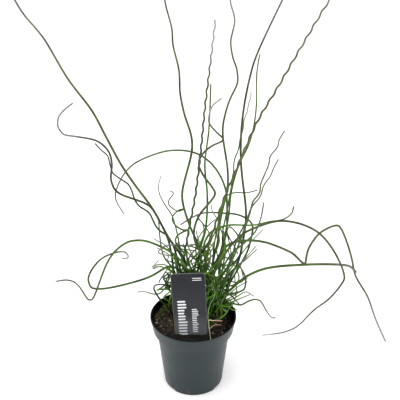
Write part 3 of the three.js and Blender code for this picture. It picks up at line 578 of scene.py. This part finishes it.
def lay_floor():
    material, _, shader = finish_named("pale floor", 0.1)
    shader.inputs["Base Color"].default_value = (0.94, 0.94, 0.94, 1)
    shader.inputs["Roughness"].default_value = 0.9
    shader.inputs["Emission Color"].default_value = (1, 1, 1, 1)
    shader.inputs["Emission Strength"].default_value = 0.14
    mesh = bpy.data.meshes.new("floor")
    half = 6.0
    corners = [(-half, -half, 0), (half, -half, 0), (half, half, 0), (-half, half, 0)]
    mesh.from_pydata(corners, [], [(0, 1, 2, 3)])
    mesh.materials.append(material)
    in_scene("floor", mesh, (0, 0, -0.2 * MM))


# ---- meshes

def keep_mark(mesh, label, values):
    """Keeps a value at every corner of a mesh, under that name."""
    layer = mesh.attributes.new(label, "FLOAT", "POINT")
    layer.data.foreach_set("value", np.asarray(values, np.float32))


def piece(name, corners, faces, material=None, marks=None):
    """A mesh object; marks are values kept at its corners, by name."""
    mesh = bpy.data.meshes.new(name)
    mesh.from_pydata(np.asarray(corners).tolist(), [], faces)
    for label, values in (marks or {}).items():
        keep_mark(mesh, label, values)
    if material:
        mesh.materials.append(material)
        mesh.shade_smooth()
    mesh.validate()
    return in_scene(name, mesh)


def dress(made, slot, *nodes):
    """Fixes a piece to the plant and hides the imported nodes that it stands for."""
    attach(made, "root")
    if nodes:
        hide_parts(*nodes)


def round_angles(sides):
    return 2 * math.pi * np.arange(sides) / sides


def polar(radius, angle):
    """The place that far from the axis, in that direction."""
    return radius * math.cos(angle), radius * math.sin(angle)


def bands(rings, sides, first=0):
    """Quads between rings of corners that follow each other, from the corner first on."""
    for i in range(rings - 1):
        for k in range(sides):
            a, b = first + i * sides + k, first + i * sides + (k + 1) % sides
            yield a, b, b + sides, a + sides


def run_along(line):
    """How far along a line each of its points lies."""
    return np.concatenate([[0], np.cumsum(np.linalg.norm(np.diff(line, axis=0), axis=1))])


def tangents(line):
    ahead = np.vstack([line[1:], 2 * line[-1:] - line[-2:-1]])
    back = np.vstack([2 * line[:1] - line[1:2], line[:-1]])
    along = ahead - back
    return along / np.linalg.norm(along, axis=1)[:, None]


class Bundle:
    """Tapered tubes along lines, gathered into one mesh."""

    def __init__(self, kind="stem"):
        self.sides = SIDES[kind]
        self.corners, self.faces, self.turns = [], [], []
        self.marks = {label: [] for label in STEM_MARKS}
        self.count = 0

    def add(self, line, radii, tone=0.0, start=None, bleached=UNBLEACHED, ripe=1.0):
        """A tube from foot to tip. start is the height where it leaves the soil."""
        line = np.asarray(line, float)
        sides, rings = self.sides, len(line)
        along = tangents(line)
        side = np.cross(along[0], (0.3, 1.0, 0.1))
        angles = round_angles(sides)
        tube = np.empty((rings, sides, 3))
        for i in range(rings):
            side = side - along[i] * side.dot(along[i])
            side /= np.linalg.norm(side)
            front = np.cross(along[i], side)
            ring = np.outer(np.cos(angles), side) + np.outer(np.sin(angles), front)
            tube[i] = line[i] + radii[i] * ring
        tip = line[-1] + along[-1] * radii[-1]
        self.corners.append(np.vstack([tube.reshape(-1, 3), [tip, line[0]]]))

        base = self.count
        lengths = run_along(line)
        self.faces += bands(rings, sides, base)
        for low, high in zip(lengths, lengths[1:]):
            for k in range(sides):
                left, right = k / sides, (k + 1) / sides
                self.turns += [left, low, right, low, right, high, left, high]
        last = base + (rings - 1) * sides
        apex = base + rings * sides
        for k in range(sides):
            after = (k + 1) % sides
            self.faces.append((last + k, last + after, apex))
            self.faces.append((base + after, base + k, apex + 1))
            left, right, middle = k / sides, (k + 1) / sides, (k + 0.5) / sides
            self.turns += [left, lengths[-1], right, lengths[-1], middle, lengths[-1]]
            self.turns += [right, 0, left, 0, middle, 0]
        self.count += rings * sides + 2

        above = lengths
        if start is not None:
            above = lengths - np.interp(start, line[:FOOT_RINGS, 2], lengths[:FOOT_RINGS])
        above = np.maximum(above, 0)
        share = above / max(above[-1], 1e-6)
        # paler and paler over the first 0.6 of the bleached end
        first, most = bleached
        pale = most * np.clip((share - first) / max(0.6 * (1 - first), 1e-6), 0, 1)
        for label, values in (("along", ripe * share), ("reach", above), ("bleach", pale)):
            self.marks[label] += [np.repeat(values, sides), values[[-1, 0]]]
        self.marks["tone"].append(np.full(rings * sides + 2, tone))

    def build(self, name, material):
        marks = {label: np.concatenate(values) for label, values in self.marks.items()}
        made = piece(name, np.vstack(self.corners), self.faces, material, marks)
        layer = made.data.uv_layers.new(name="around")
        layer.data.foreach_set("uv", np.asarray(self.turns, np.float32))
        return made


def smoothed(points, values, step):
    """Evenly spaced points on a smooth curve through the given ones, with their values."""
    points, values = np.asarray(points, float), np.asarray(values, float)
    spans = np.linalg.norm(np.diff(points, axis=0), axis=1)
    knots = np.concatenate([[0], np.cumsum(np.sqrt(spans))])
    slopes = np.diff(points, axis=0) / np.diff(knots)[:, None]
    pull = np.empty_like(points)
    pull[0], pull[-1] = slopes[0], slopes[-1]
    wide = (points[2:] - points[:-2]) / (knots[2:] - knots[:-2])[:, None]
    pull[1:-1] = slopes[:-1] - wide + slopes[1:]
    fine, carried = [], []
    for i, span in enumerate(spans):
        share = np.linspace(0, 1, max(2, int(4 * span / step)), endpoint=False)[:, None]
        gap = knots[i + 1] - knots[i]
        squares, cubes = share**2, share**3
        fine.append((2 * cubes - 3 * squares + 1) * points[i]
                    + (cubes - 2 * squares + share) * gap * pull[i]
                    + (3 * squares - 2 * cubes) * points[i + 1]
                    + (cubes - squares) * gap * pull[i + 1])
        carried.append(values[i] + share[:, 0] * (values[i + 1] - values[i]))
    fine = np.vstack(fine + [points[-1:]])
    carried = np.concatenate(carried + [values[-1:]])
    run = run_along(fine)
    even = np.linspace(0, run[-1], max(3, int(math.ceil(run[-1] / step)) + 1))
    line = np.column_stack([np.interp(even, run, fine[:, axis]) for axis in range(3)])
    return line, np.interp(even, run, carried)


def tapered(radius, places, end, step=STEM_STEP):
    """A smooth line through the places, whose radius in mm narrows to the share end of it."""
    return smoothed(places, np.linspace(radius, end * radius, len(places)) * MM, step)


# ---- stems read from the frame

def stoutness(sides):
    """How much wider than a round stem the corners of a coarse one stand."""
    return math.sqrt(2 * math.pi / (sides * math.sin(2 * math.pi / sides)))


def coarse_net(name):
    """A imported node's corners, and for each the corners that an edge joins it to."""
    mesh = frame["nodes"][name].data
    places = np.array([corner.co for corner in mesh.vertices])
    corners, which = np.unique(np.round(places, 7), axis=0, return_inverse=True)
    which = which.reshape(-1)
    joined = {i: set() for i in range(len(corners))}
    for face in mesh.polygons:
        ends = [int(which[i]) for i in face.vertices]
        for a, b in zip(ends, ends[1:] + ends[:1]):
            joined[a].add(b)
            joined[b].add(a)
    return corners, joined


def strands_of(name):
    """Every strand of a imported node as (ring centres, radii), from foot to tip."""
    corners, joined = coarse_net(name)
    found = []
    for tip, ring in joined.items():
        sides = len(ring)
        if sides not in COARSE_SIDES:
            continue
        ring = list(ring)
        centre = corners[ring].mean(0)
        width = np.linalg.norm(corners[ring] - centre, axis=1).mean()
        height = np.linalg.norm(corners[tip] - centre)
        if abs(height / width - COARSE_TIP) > TIP_SLACK:
            continue
        centres, radii = [], []
        seen = {tip}
        layer = set(ring)
        while len(layer) == sides:
            ends = corners[list(layer)]
            centres.append(ends.mean(0))
            spread = np.linalg.norm(ends - centres[-1], axis=1).mean()
            radii.append(spread / stoutness(sides))
            seen |= layer
            layer = set().union(*(joined[i] for i in layer)) - seen
        found.append((np.array(centres[::-1]), np.array(radii[::-1])))
    return found, corners


def bank(x, y):
    """How much higher the soil lies along the wall on the left, 0 to 1."""
    (out_from, out_over), (left_from, left_over) = BANK_OUT, BANK_LEFT
    near_wall = np.clip((np.hypot(x, y) / MM - out_from) / out_over, 0, 1)
    return near_wall * np.clip((-x / MM - left_from) / left_over, 0, 1)


def soil_height(x, y):
    """The lie of the soil: a low dome with crumbs and hollows."""
    out = np.hypot(x, y) / POT["collar_radius"]
    u, v = x / MM, y / MM
    crumbs = np.sin(0.31 * u + 1.3) * np.cos(0.27 * v - 0.4) + np.sin(0.19 * (u + 1.7 * v))
    dome = SOIL["dome"] * (1 - out * out)
    return SOIL["edge"] + dome + SOIL["bank"] * bank(x, y) + 0.5 * SOIL["bump"] * crumbs


def tip_point(centres, radii):
    """The strand ended in a fine point, a little past its last ring."""
    heading = centres[-1] - centres[-2]
    heading /= np.linalg.norm(heading)
    point = centres[-1] + POINT["reach"] * heading
    return np.vstack([centres, point]), np.append(radii, POINT["radius"])


SLOTS = {part["node"]: part["material_slot"] for part in frame["record"]["subparts"]}
FEET = {"stem": [], "tuft": []}  # where the stems and tufts leave the soil


def shaded(name, tone):
    """The tone of a stem or a strand, shifted as that of its whole stem or tuft is."""
    return max(DARKEST, tone + SHADES.get(name, 0))


def dress_finer(bundle, name):
    """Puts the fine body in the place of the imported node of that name."""
    slot = SLOTS[name]
    dress(bundle.build(f"fine_{name}", STEM_FINISHES[slot]), slot, name)


def finer_stem(name, tones):
    (centres, radii), = strands_of(name)[0]
    line, widths = smoothed(*tip_point(centres, radii), STEM_STEP)
    bundle = Bundle()
    x, y = line[0][:2]
    FEET["stem"].append((x, y))
    tone = shaded(name, tones.uniform(-0.5, 0.5))
    bundle.add(line, SKIN * widths, tone, soil_height(x, y), BLEACHED.get(name, UNBLEACHED))
    dress_finer(bundle, name)


def finer_tuft(name, tones):
    strands, corners = strands_of(name)
    lowest = corners[corners[:, 2].argmin()]
    FEET["tuft"].append(tuple(lowest[:2]))
    bundle = Bundle("tuft")
    for i, (centres, radii) in enumerate(strands):
        ring = np.array([*polar(1, TUFT_FOOT["turn"] * i), 0]) * TUFT_FOOT["spread"] * MM
        feet = [lowest * (1, 1, 0) + ring + (0, 0, z * MM) for z in TUFT_FOOT["rings"]]
        free = centres[:, 2] > TUFT_FOOT["free"]
        points = np.vstack([feet, centres[free]])
        widths = np.append([radii[0]] * len(feet), radii[free])
        stouter, bleached = 1, UNBLEACHED
        if radii[0] < WISP["below"]:
            stouter, bleached = WISP["stouter"], WISP["bleached"]
        line, widths = smoothed(*tip_point(points, stouter * widths), STEM_STEP)
        tone = shaded(name, tones.uniform(-1, 1))
        bundle.add(line, widths, tone, soil_height(*lowest[:2]), bleached)
    dress_finer(bundle, name)


# ---- sheaths and loose strands

def sheaths(bundle, place, count, spread, draw):
    """Short pointed scales that stand round the foot of a stem or a tuft."""
    x, y = place
    for i in range(count):
        angle = 2 * math.pi * (i + draw.random()) / count
        out_x, out_y = polar(spread * draw.uniform(0.6, 1.1), angle)
        foot_x, foot_y = x + out_x, y + out_y
        ground = soil_height(foot_x, foot_y)
        tall = draw.uniform(7, 17) * MM
        lean = draw.uniform(0.5, 2.2) * MM
        heights = np.linspace(-5 * MM, tall, 7)
        rise = np.clip(heights / tall, 0, 1)
        lean_x, lean_y = polar(lean * rise**2, angle)
        line = np.column_stack([foot_x + lean_x, foot_y + lean_y, ground + heights])
        radii = draw.uniform(0.9, 1.35) * MM * (1 - 0.82 * rise**1.6)
        bundle.add(line, radii, draw.random(), ground)


def loose_strands(name, slot, strands):
    """Strands given as (radius, places), the share left at the tip, the tone and the finish."""
    bundle = Bundle()
    for (radius, places), end, tone, finish in strands:
        line, radii = tapered(radius, np.array(places) * MM, end)
        bundle.add(line, radii, tone, soil_height(*line[0][:2]), **finish)
    dress(bundle.build(name, STEM_FINISHES[slot]), slot)


# ---- pot

def eased(corners, steps=5):
    """A profile whose corners [radius, height, rounding] are rounded off."""
    places = [Vector((radius, height)) for radius, height, _ in corners]
    outline = []
    for i, (place, (_, _, rounding)) in enumerate(zip(places, corners)):
        if rounding == 0 or i in (0, len(corners) - 1):
            outline.append(tuple(place))
            continue
        into = (places[i - 1] - place).normalized() * rounding
        out = (places[i + 1] - place).normalized() * rounding
        for k in range(steps):
            share = k / (steps - 1)
            near = place + into * (1 - share) ** 2 + out * share**2
            outline.append(tuple(near))
    return outline


def turned(outline, sides):
    """A closed body: an outline from axis to axis turned about Z."""
    rings = [pair for pair in outline if pair[0] > 1e-7]
    corners = [(*polar(radius, angle), height) for radius, height in rings
               for angle in round_angles(sides)]
    faces = list(bands(len(rings), sides))
    low, high = len(corners), len(corners) + 1
    corners += [(0, 0, outline[0][1]), (0, 0, outline[-1][1])]
    last = (len(rings) - 1) * sides
    for k in range(sides):
        after = (k + 1) % sides
        faces.append((low, after, k))
        faces.append((high, last + k, last + after))
    return np.array(corners), faces


def pot_outline():
    """From the middle of the underside up the outside, over the rim and down the inside."""
    wall, floor, height = POT["wall"], POT["floor"], POT["height"]
    base, shoulder, seat, rim = (POT[f"{edge}_radius"] for edge in POT_EDGES)
    collar = rim - POT["lip"]
    slope = (shoulder - base) / SEAT
    return eased([
        (0, 0.5 * MM, 0),
        (base - 6 * MM, 0.5 * MM, 0.4 * MM),
        (base - 5.4 * MM, 0, 0.4 * MM),
        (base, 0, 0.9 * MM),
        (shoulder, SEAT, 0.5 * MM),
        (seat, SEAT, 0.8 * MM),
        (collar, height - 2.5 * MM, 0.3 * MM),
        (rim, height - 2.1 * MM, 0.3 * MM),
        (rim, height, 0.8 * MM),
        (rim - 2.2 * MM, height, 0.6 * MM),
        (collar - wall, height - 1.8 * MM, 0.5 * MM),
        (seat - wall + 0.2 * MM, SEAT + wall, 0.6 * MM),
        (shoulder - wall, SEAT + wall, 0.4 * MM),
        (base - wall + slope * floor, floor, 0.6 * MM),
        (0, floor, 0),
    ])


def drain_cutter():
    """The boxes that cut the drain notches out of the pot's foot."""
    depth = POT["drain_reach"] + 2 * MM
    middle = POT["base_radius"] - POT["drain_reach"] + depth / 2
    corners, faces = [], []
    for i in range(DRAINS):
        angle = math.radians(FIRST_DRAIN) + 2 * math.pi * i / DRAINS
        turn = Matrix.Rotation(angle, 3, "Z")
        base = len(corners)
        for x in (-0.5, 0.5):
            for y in (-0.5, 0.5):
                for z in (-1, 1):
                    wide = POT["drain_width"] * (1 - DRAIN_DRAFT * z)
                    place = (middle + x * depth, y * wide, z * POT["drain_height"])
                    corners.append(turn @ Vector(place))
        for face in ((0, 1, 3, 2), (4, 6, 7, 5), (0, 4, 5, 1), (2, 3, 7, 6), (0, 2, 6, 4),
                     (1, 5, 7, 3)):
            faces.append([base + corner for corner in face])
    return piece("drain_cutter", corners, faces)


def applied(made):
    """Turns a piece's modifiers into its mesh."""
    shown = made.evaluated_get(bpy.context.evaluated_depsgraph_get())
    mesh = bpy.data.meshes.new_from_object(shown)
    made.modifiers.clear()
    old = made.data
    made.data = mesh
    bpy.data.meshes.remove(old)


def pot_body():
    corners, faces = turned(pot_outline(), POT_SIDES)
    # a little ear of flash stands up on the outer edge of the rim
    angle = np.degrees(np.arctan2(corners[:, 1], corners[:, 0]))
    near_top = corners[:, 2] > POT["height"] - 0.9 * MM
    outer = np.hypot(corners[:, 0], corners[:, 1]) > POT["rim_radius"] - 1.6 * MM
    ear = np.clip(1 - np.abs(angle - EAR["angle"]) / EAR["half"], 0, 1)
    corners[:, 2] += np.where(near_top & outer, EAR["height"] * ear, 0)
    made = piece("pot_body", corners, faces, POT_FINISH)
    cutter = drain_cutter()
    notches = made.modifiers.new("drains", "BOOLEAN")
    notches.operation = "DIFFERENCE"
    notches.solver = "EXACT"
    notches.object = cutter
    applied(made)
    bpy.data.objects.remove(cutter)
    mesh = made.data
    mesh.shade_smooth()
    mesh.set_sharp_from_angle(angle=math.radians(40))
    # painted shade on the inside, which is darker and duller; the very top of the rim, with its
    # ear, is darker and duller too
    places = np.array([corner.co for corner in mesh.vertices])
    out, height = np.hypot(places[:, 0], places[:, 1]), places[:, 2]
    outside = np.interp(height, [0, SEAT, SEAT + 0.1 * MM, POT["height"]],
                        [POT[f"{edge}_radius"] for edge in POT_EDGES])
    inside_shade_and_rim_top = (outside - out > 0.9 * MM) & (height > 1.2 * MM) | (height > POT["height"] - 0.3 * MM)
    keep_mark(mesh, "inside", inside_shade_and_rim_top)
    dress(made, "pot", "pot")


# ---- soil

def crumbled(x, y):
    """Height of the soil with its fine crumbs, at one place."""
    place = Vector((x, y, 0.0)) / MM
    rough = sum(height * noise.noise(place / size) for height, size in GRAINS)
    height, size = CLODS
    distances, _ = noise.voronoi(place / size)
    clods = height * (0.45 - distances[0])
    return soil_height(x, y) + (rough + clods) * MM


def painted_front_shadow(y):
    """How much a painted shadow of the front wall darkens the soil between the tag and the front
    of the pot, 0 to 1.
    """
    behind, depth = PAINTED_FRONT_SHADOW
    return min(1, max(0, (TAG["front"] + behind - y) / depth))


def soil_shade(x, y, angle, out):
    """How light the bits of soil are at a place, out being its share of the radius, darkened by
    painted shade near the wall and a painted shadow in front of the tag.
    """
    light_bits = 0.42 + 0.75 * noise.noise(Vector((x, y, 0.01)) / (4 * MM))
    near_wall = max(0, out - PAINTED_WALL_SHADE["from"]) / (1 - PAINTED_WALL_SHADE["from"])
    side = PAINTED_WALL_SHADE["mean"] + PAINTED_WALL_SHADE["swing"] * math.cos(angle + PAINTED_WALL_SHADE["turn"])
    # painted shade: the soil is darker near the wall and in front of the tag
    painted_shade = max(near_wall * side, painted_front_shadow(y))
    return light_bits * (1 - painted_shade) - PAINTED_WALL_SHADE["dark"] * painted_shade


def soil_body():
    edge, rings, sides = SOIL["radius"], SOIL_RINGS, SOIL_SIDES
    corners = [(0, 0, crumbled(0, 0))]
    shade = [0.3]
    for j in range(1, rings + 1):
        radius = edge * j / rings
        for angle in round_angles(sides):
            x, y = polar(radius, angle)
            spread = 1 + BANK_SPREAD * bank(x, y)
            corners.append((spread * x, spread * y, crumbled(x, y)))
            shade.append(soil_shade(x, y, angle, radius / edge))
    gap, wall = SOIL["wall_gap"], POT["wall"]
    below = [
        (POT["collar_radius"] - wall - 1.5 * gap, SEAT + wall + gap),
        (POT["shoulder_radius"] - wall - gap, SEAT + wall + gap),
        (POT["base_radius"] - wall - gap, POT["floor"] + gap),
    ]
    for radius, height in below:
        corners += [(*polar(radius, angle), height) for angle in round_angles(sides)]
    corners.append((0, 0, POT["floor"] + gap))
    shade += [0.2] * (len(corners) - len(shade))
    rings += len(below)
    faces = [(0, 1 + k, 1 + (k + 1) % sides) for k in range(sides)]
    faces += [(a, d, c, b) for a, b, c, d in bands(rings, sides, 1)]
    last = 1 + (rings - 1) * sides
    faces += [(last + k, len(corners) - 1, last + (k + 1) % sides) for k in range(sides)]
    dress(piece("soil_body", corners, faces, SOIL_FINISH, {"shade": shade}), "soil", "soil")


def ball():
    """Corners and faces of a coarse round ball of radius 1."""
    work = bmesh.new()
    bmesh.ops.create_icosphere(work, subdivisions=1, radius=1)
    corners = np.array([corner.co for corner in work.verts])
    faces = np.array([[corner.index for corner in face.verts] for face in work.faces])
    work.free()
    return corners, faces


def spot(draw, radius):
    """An even random place inside a circle."""
    out = radius * math.sqrt(draw.random())
    return polar(out, draw.uniform(0, 2 * math.pi))


def soil_crumbs(draw):
    """Loose bits of bark and peat, half sunk in the soil."""
    unit, unit_faces = ball()
    corners, faces, shade = [], [], []
    for i in range(CRUMBS):
        x, y = spot(draw, SOIL["radius"] - 2.2 * MM)
        size = draw.uniform(0.7, 1.7) * MM * (1 + 1.2 * draw.random() ** 4)
        stretch = (1, draw.uniform(0.5, 0.9), draw.uniform(0.35, 0.7))
        lumps = np.array([1 + 0.35 * noise.noise(Vector(corner) * 1.7 + Vector((i, 0, 0)))
                          for corner in unit])
        bit = unit * lumps[:, None] * stretch * size
        turn = Euler((draw.uniform(-0.5, 0.5), draw.uniform(-0.5, 0.5), draw.uniform(0, 6.28)))
        bit = bit @ np.array(turn.to_matrix()).T
        faces.append(unit_faces + i * len(unit))
        corners.append(bit + (x, y, crumbled(x, y) + 0.15 * size))
        # crumbs in front of the tag are darkened by the painted shadow of the front wall
        shade.append(np.full(len(unit), draw.random() ** 2.2 * (1 - painted_front_shadow(y))))
    made = piece("soil_crumbs", np.vstack(corners), np.vstack(faces).tolist(), CRUMB_FINISH,
                 {"shade": np.concatenate(shade)})
    dress(made, "soil")


def soil_fibres(draw):
    """Root fibres and bits of straw that lie on the soil."""
    bundle = Bundle("fibre")
    for _ in range(FIBRES):
        x, y = spot(draw, SOIL["radius"] - 5 * MM)
        length = draw.uniform(5, 17) * MM
        heading = draw.uniform(0, 2 * math.pi)
        bend = draw.uniform(-1.6, 1.6)
        points = []
        for share in np.linspace(0, 1, FIBRE_STEPS + 1):
            points.append((x, y, crumbled(x, y) + (0.35 + 0.8 * math.sin(math.pi * share)) * MM))
            heading += bend / FIBRE_STEPS
            step_x, step_y = polar(length / FIBRE_STEPS, heading)
            x, y = x + step_x, y + step_y
            if math.hypot(x, y) > SOIL["radius"] - 1.5 * MM:
                break
        if len(points) < 4 or min(points[0][1], points[-1][1]) < TAG["front"]:
            continue
        radius = draw.uniform(0.16, 0.34) * MM
        radii = [radius * (1 - 0.6 * i / len(points)) for i in range(len(points))]
        bundle.add(points, radii, draw.random())
    dress(bundle.build("soil_fibres", FIBRE_FINISH), "soil")


def moss(draw):
    """Little cushions of moss: pointed leaves round short shoots."""
    bundle = Bundle("moss")
    for middle_x, middle_y, spread, count in MOSS_PATCHES:
        for _ in range(count):
            x, y = spot(draw, spread * MM)
            x, y = x + middle_x * MM, y + middle_y * MM
            if math.hypot(x, y) > SOIL["radius"] - 1 * MM:
                continue
            ground = crumbled(x, y)
            tall = draw.uniform(0.9, 2.6) * MM
            lean_x, lean_y = draw.uniform(-0.8, 0.8) * MM, draw.uniform(-0.8, 0.8) * MM
            line = [(x, y, ground - 0.4 * MM),
                    (x + 0.3 * lean_x, y + 0.3 * lean_y, ground + 0.4 * tall),
                    (x + lean_x, y + lean_y, ground + tall)]
            bundle.add(line, np.array([0.4, 0.42, 0.1]) * MM, draw.random())
    dress(bundle.build("moss", MOSS_FINISH), "soil")


def dead_stems():
    bundle = Bundle("dead stem")
    for radius, points in DEAD_STEMS:
        places = [(x * MM, y * MM, soil_height(x * MM, y * MM) + lift * MM)
                  for x, y, lift in points]
        bundle.add(*tapered(radius, places, 0.55, 1.2 * MM))
    dress(bundle.build("dead_stems", DEAD_STEM), "stem_dark")


# ---- tag

def tag_place(across, up, out):
    """A place on the tag: across and up from its middle, and out in front of it."""
    cos, sin = math.cos(TAG_LEAN), math.sin(TAG_LEAN)
    return (TAG["centre"] + across * cos - up * sin,
            TAG["front"] - out,
            TAG["middle"] + across * sin + up * cos)


def rounded_corner(across, up, radius, first, steps=8):
    """A quarter turn of points about a centre, from the angle first, in degrees."""
    for k in range(steps + 1):
        right, high = polar(radius, math.radians(first + 90 * k / steps))
        yield across + right, up + high


def tag_outline(inset):
    half, corner = TAG["width"] / 2 - inset, TAG["corner"] - inset
    side = TAG["shoulder_width"] / 2 - inset
    foot, tip = TAG["tip_width"] / 2 - inset, TAG["tip"] + inset - TAG["middle"]
    shoulder, top = TAG["shoulder"] - TAG["middle"], TAG["top"] - inset - TAG["middle"]
    return [(-foot, tip), (foot, tip), (side, shoulder),
            *rounded_corner(half - corner, top - corner, corner, 0),
            *rounded_corner(corner - half, top - corner, corner, 90),
            (-side, shoulder)]


def slab(outlines):
    """Corners and faces of a closed slab through outlines of like length at given depths."""
    count = len(outlines[0][1])
    corners = [tag_place(across, up, out) for out, outline in outlines for across, up in outline]
    faces = [range(count)[::-1], *bands(len(outlines), count)]
    faces.append(range(len(corners) - count, len(corners)))
    return corners, faces


def slabs_piece(name, slabs, material):
    corners, faces = [], []
    for one_corners, one_faces in slabs:
        faces += [[len(corners) + corner for corner in face] for face in one_faces]
        corners += one_corners
    made = piece(name, corners, faces, material)
    made.data.set_sharp_from_angle(angle=math.radians(35))
    return made


def bar(across, up, wide, tall, out):
    """A thin bar with round ends, printed on the tag."""
    end = min(wide, tall) / 2 * 0.9
    outline = []
    for side, level, first in ((1, -1, -90), (1, 1, 0), (-1, 1, 90), (-1, -1, 180)):
        outline += rounded_corner(across + side * wide / 2 - side * end,
                                  up + level * tall / 2 - level * end, end, first, 4)
    return slab([(out - TAG["ink"], outline), (out, outline)])


def tag_body():
    deep, soft = TAG["thickness"] / 2, TAG["edge"]
    blade = slab([(-deep, tag_outline(soft)), (soft - deep, tag_outline(0)),
                  (deep - soft, tag_outline(0)), (deep, tag_outline(soft))])
    dress(slabs_piece("tag_blade", [blade], TAG_CORE), "tag", "tag")
    skin, ground = TAG["ground"], tag_outline(TAG["margin"])
    grounds = [slab([(deep, ground), (deep + skin, ground)]),
               slab([(-deep - skin, ground), (-deep, ground)])]
    dress(slabs_piece("tag_ground", grounds, TAG_FACE), "tag")
    face = deep + skin + TAG["ink"]
    bars = []
    for across, first, last, count, widest, tall in PRINTED_BARS:
        lengths = random.Random(count)
        for k in range(count):
            wide = widest * lengths.uniform(SHORTEST_BAR, 1)
            up = first + (last - first) * k / (count - 1)
            shift = across - (widest - wide) / 2
            bars.append(bar(shift * MM, up * MM, wide * MM, tall * MM, face))
    dress(slabs_piece("tag_bars", bars, TAG_INK), "tag")


# ---- making it all

point_camera()
lay_floor()
light_studio()
pot_body()
soil_body()
tag_body()

tones = random.Random(7)
for kind, finer in (("stem_", finer_stem), ("tuft_", finer_tuft)):
    for name in sorted(frame["nodes"]):
        if name.startswith(kind):
            finer(name, tones)

soil_crumbs(random.Random(21))
soil_fibres(random.Random(22))
moss(random.Random(23))
dead_stems()
tones = random.Random(26)
loose_strands("dark_strands", "stem_mid",
              [(strand, 0.7, tones.uniform(-1.1, -0.6), {"ripe": 0.6}) for strand in DARK_STRANDS])
loose_strands("bright_strands", "stem_bright",
              [(strand, 0.55, 0.9, {}) for strand in BRIGHT_STRANDS]
              + [(PALE_STRAND, 0.8, 0.2, {"bleached": (0.1, 0.15)})])

foot_scales = Bundle("sheath")
scales = random.Random(24)
for kind, (count, spread) in SHEATHS.items():
    for place in FEET[kind]:
        sheaths(foot_scales, place, count, spread, scales)
dress(foot_scales.build("foot_sheaths", SHEATH_FINISH), "stem_mid")
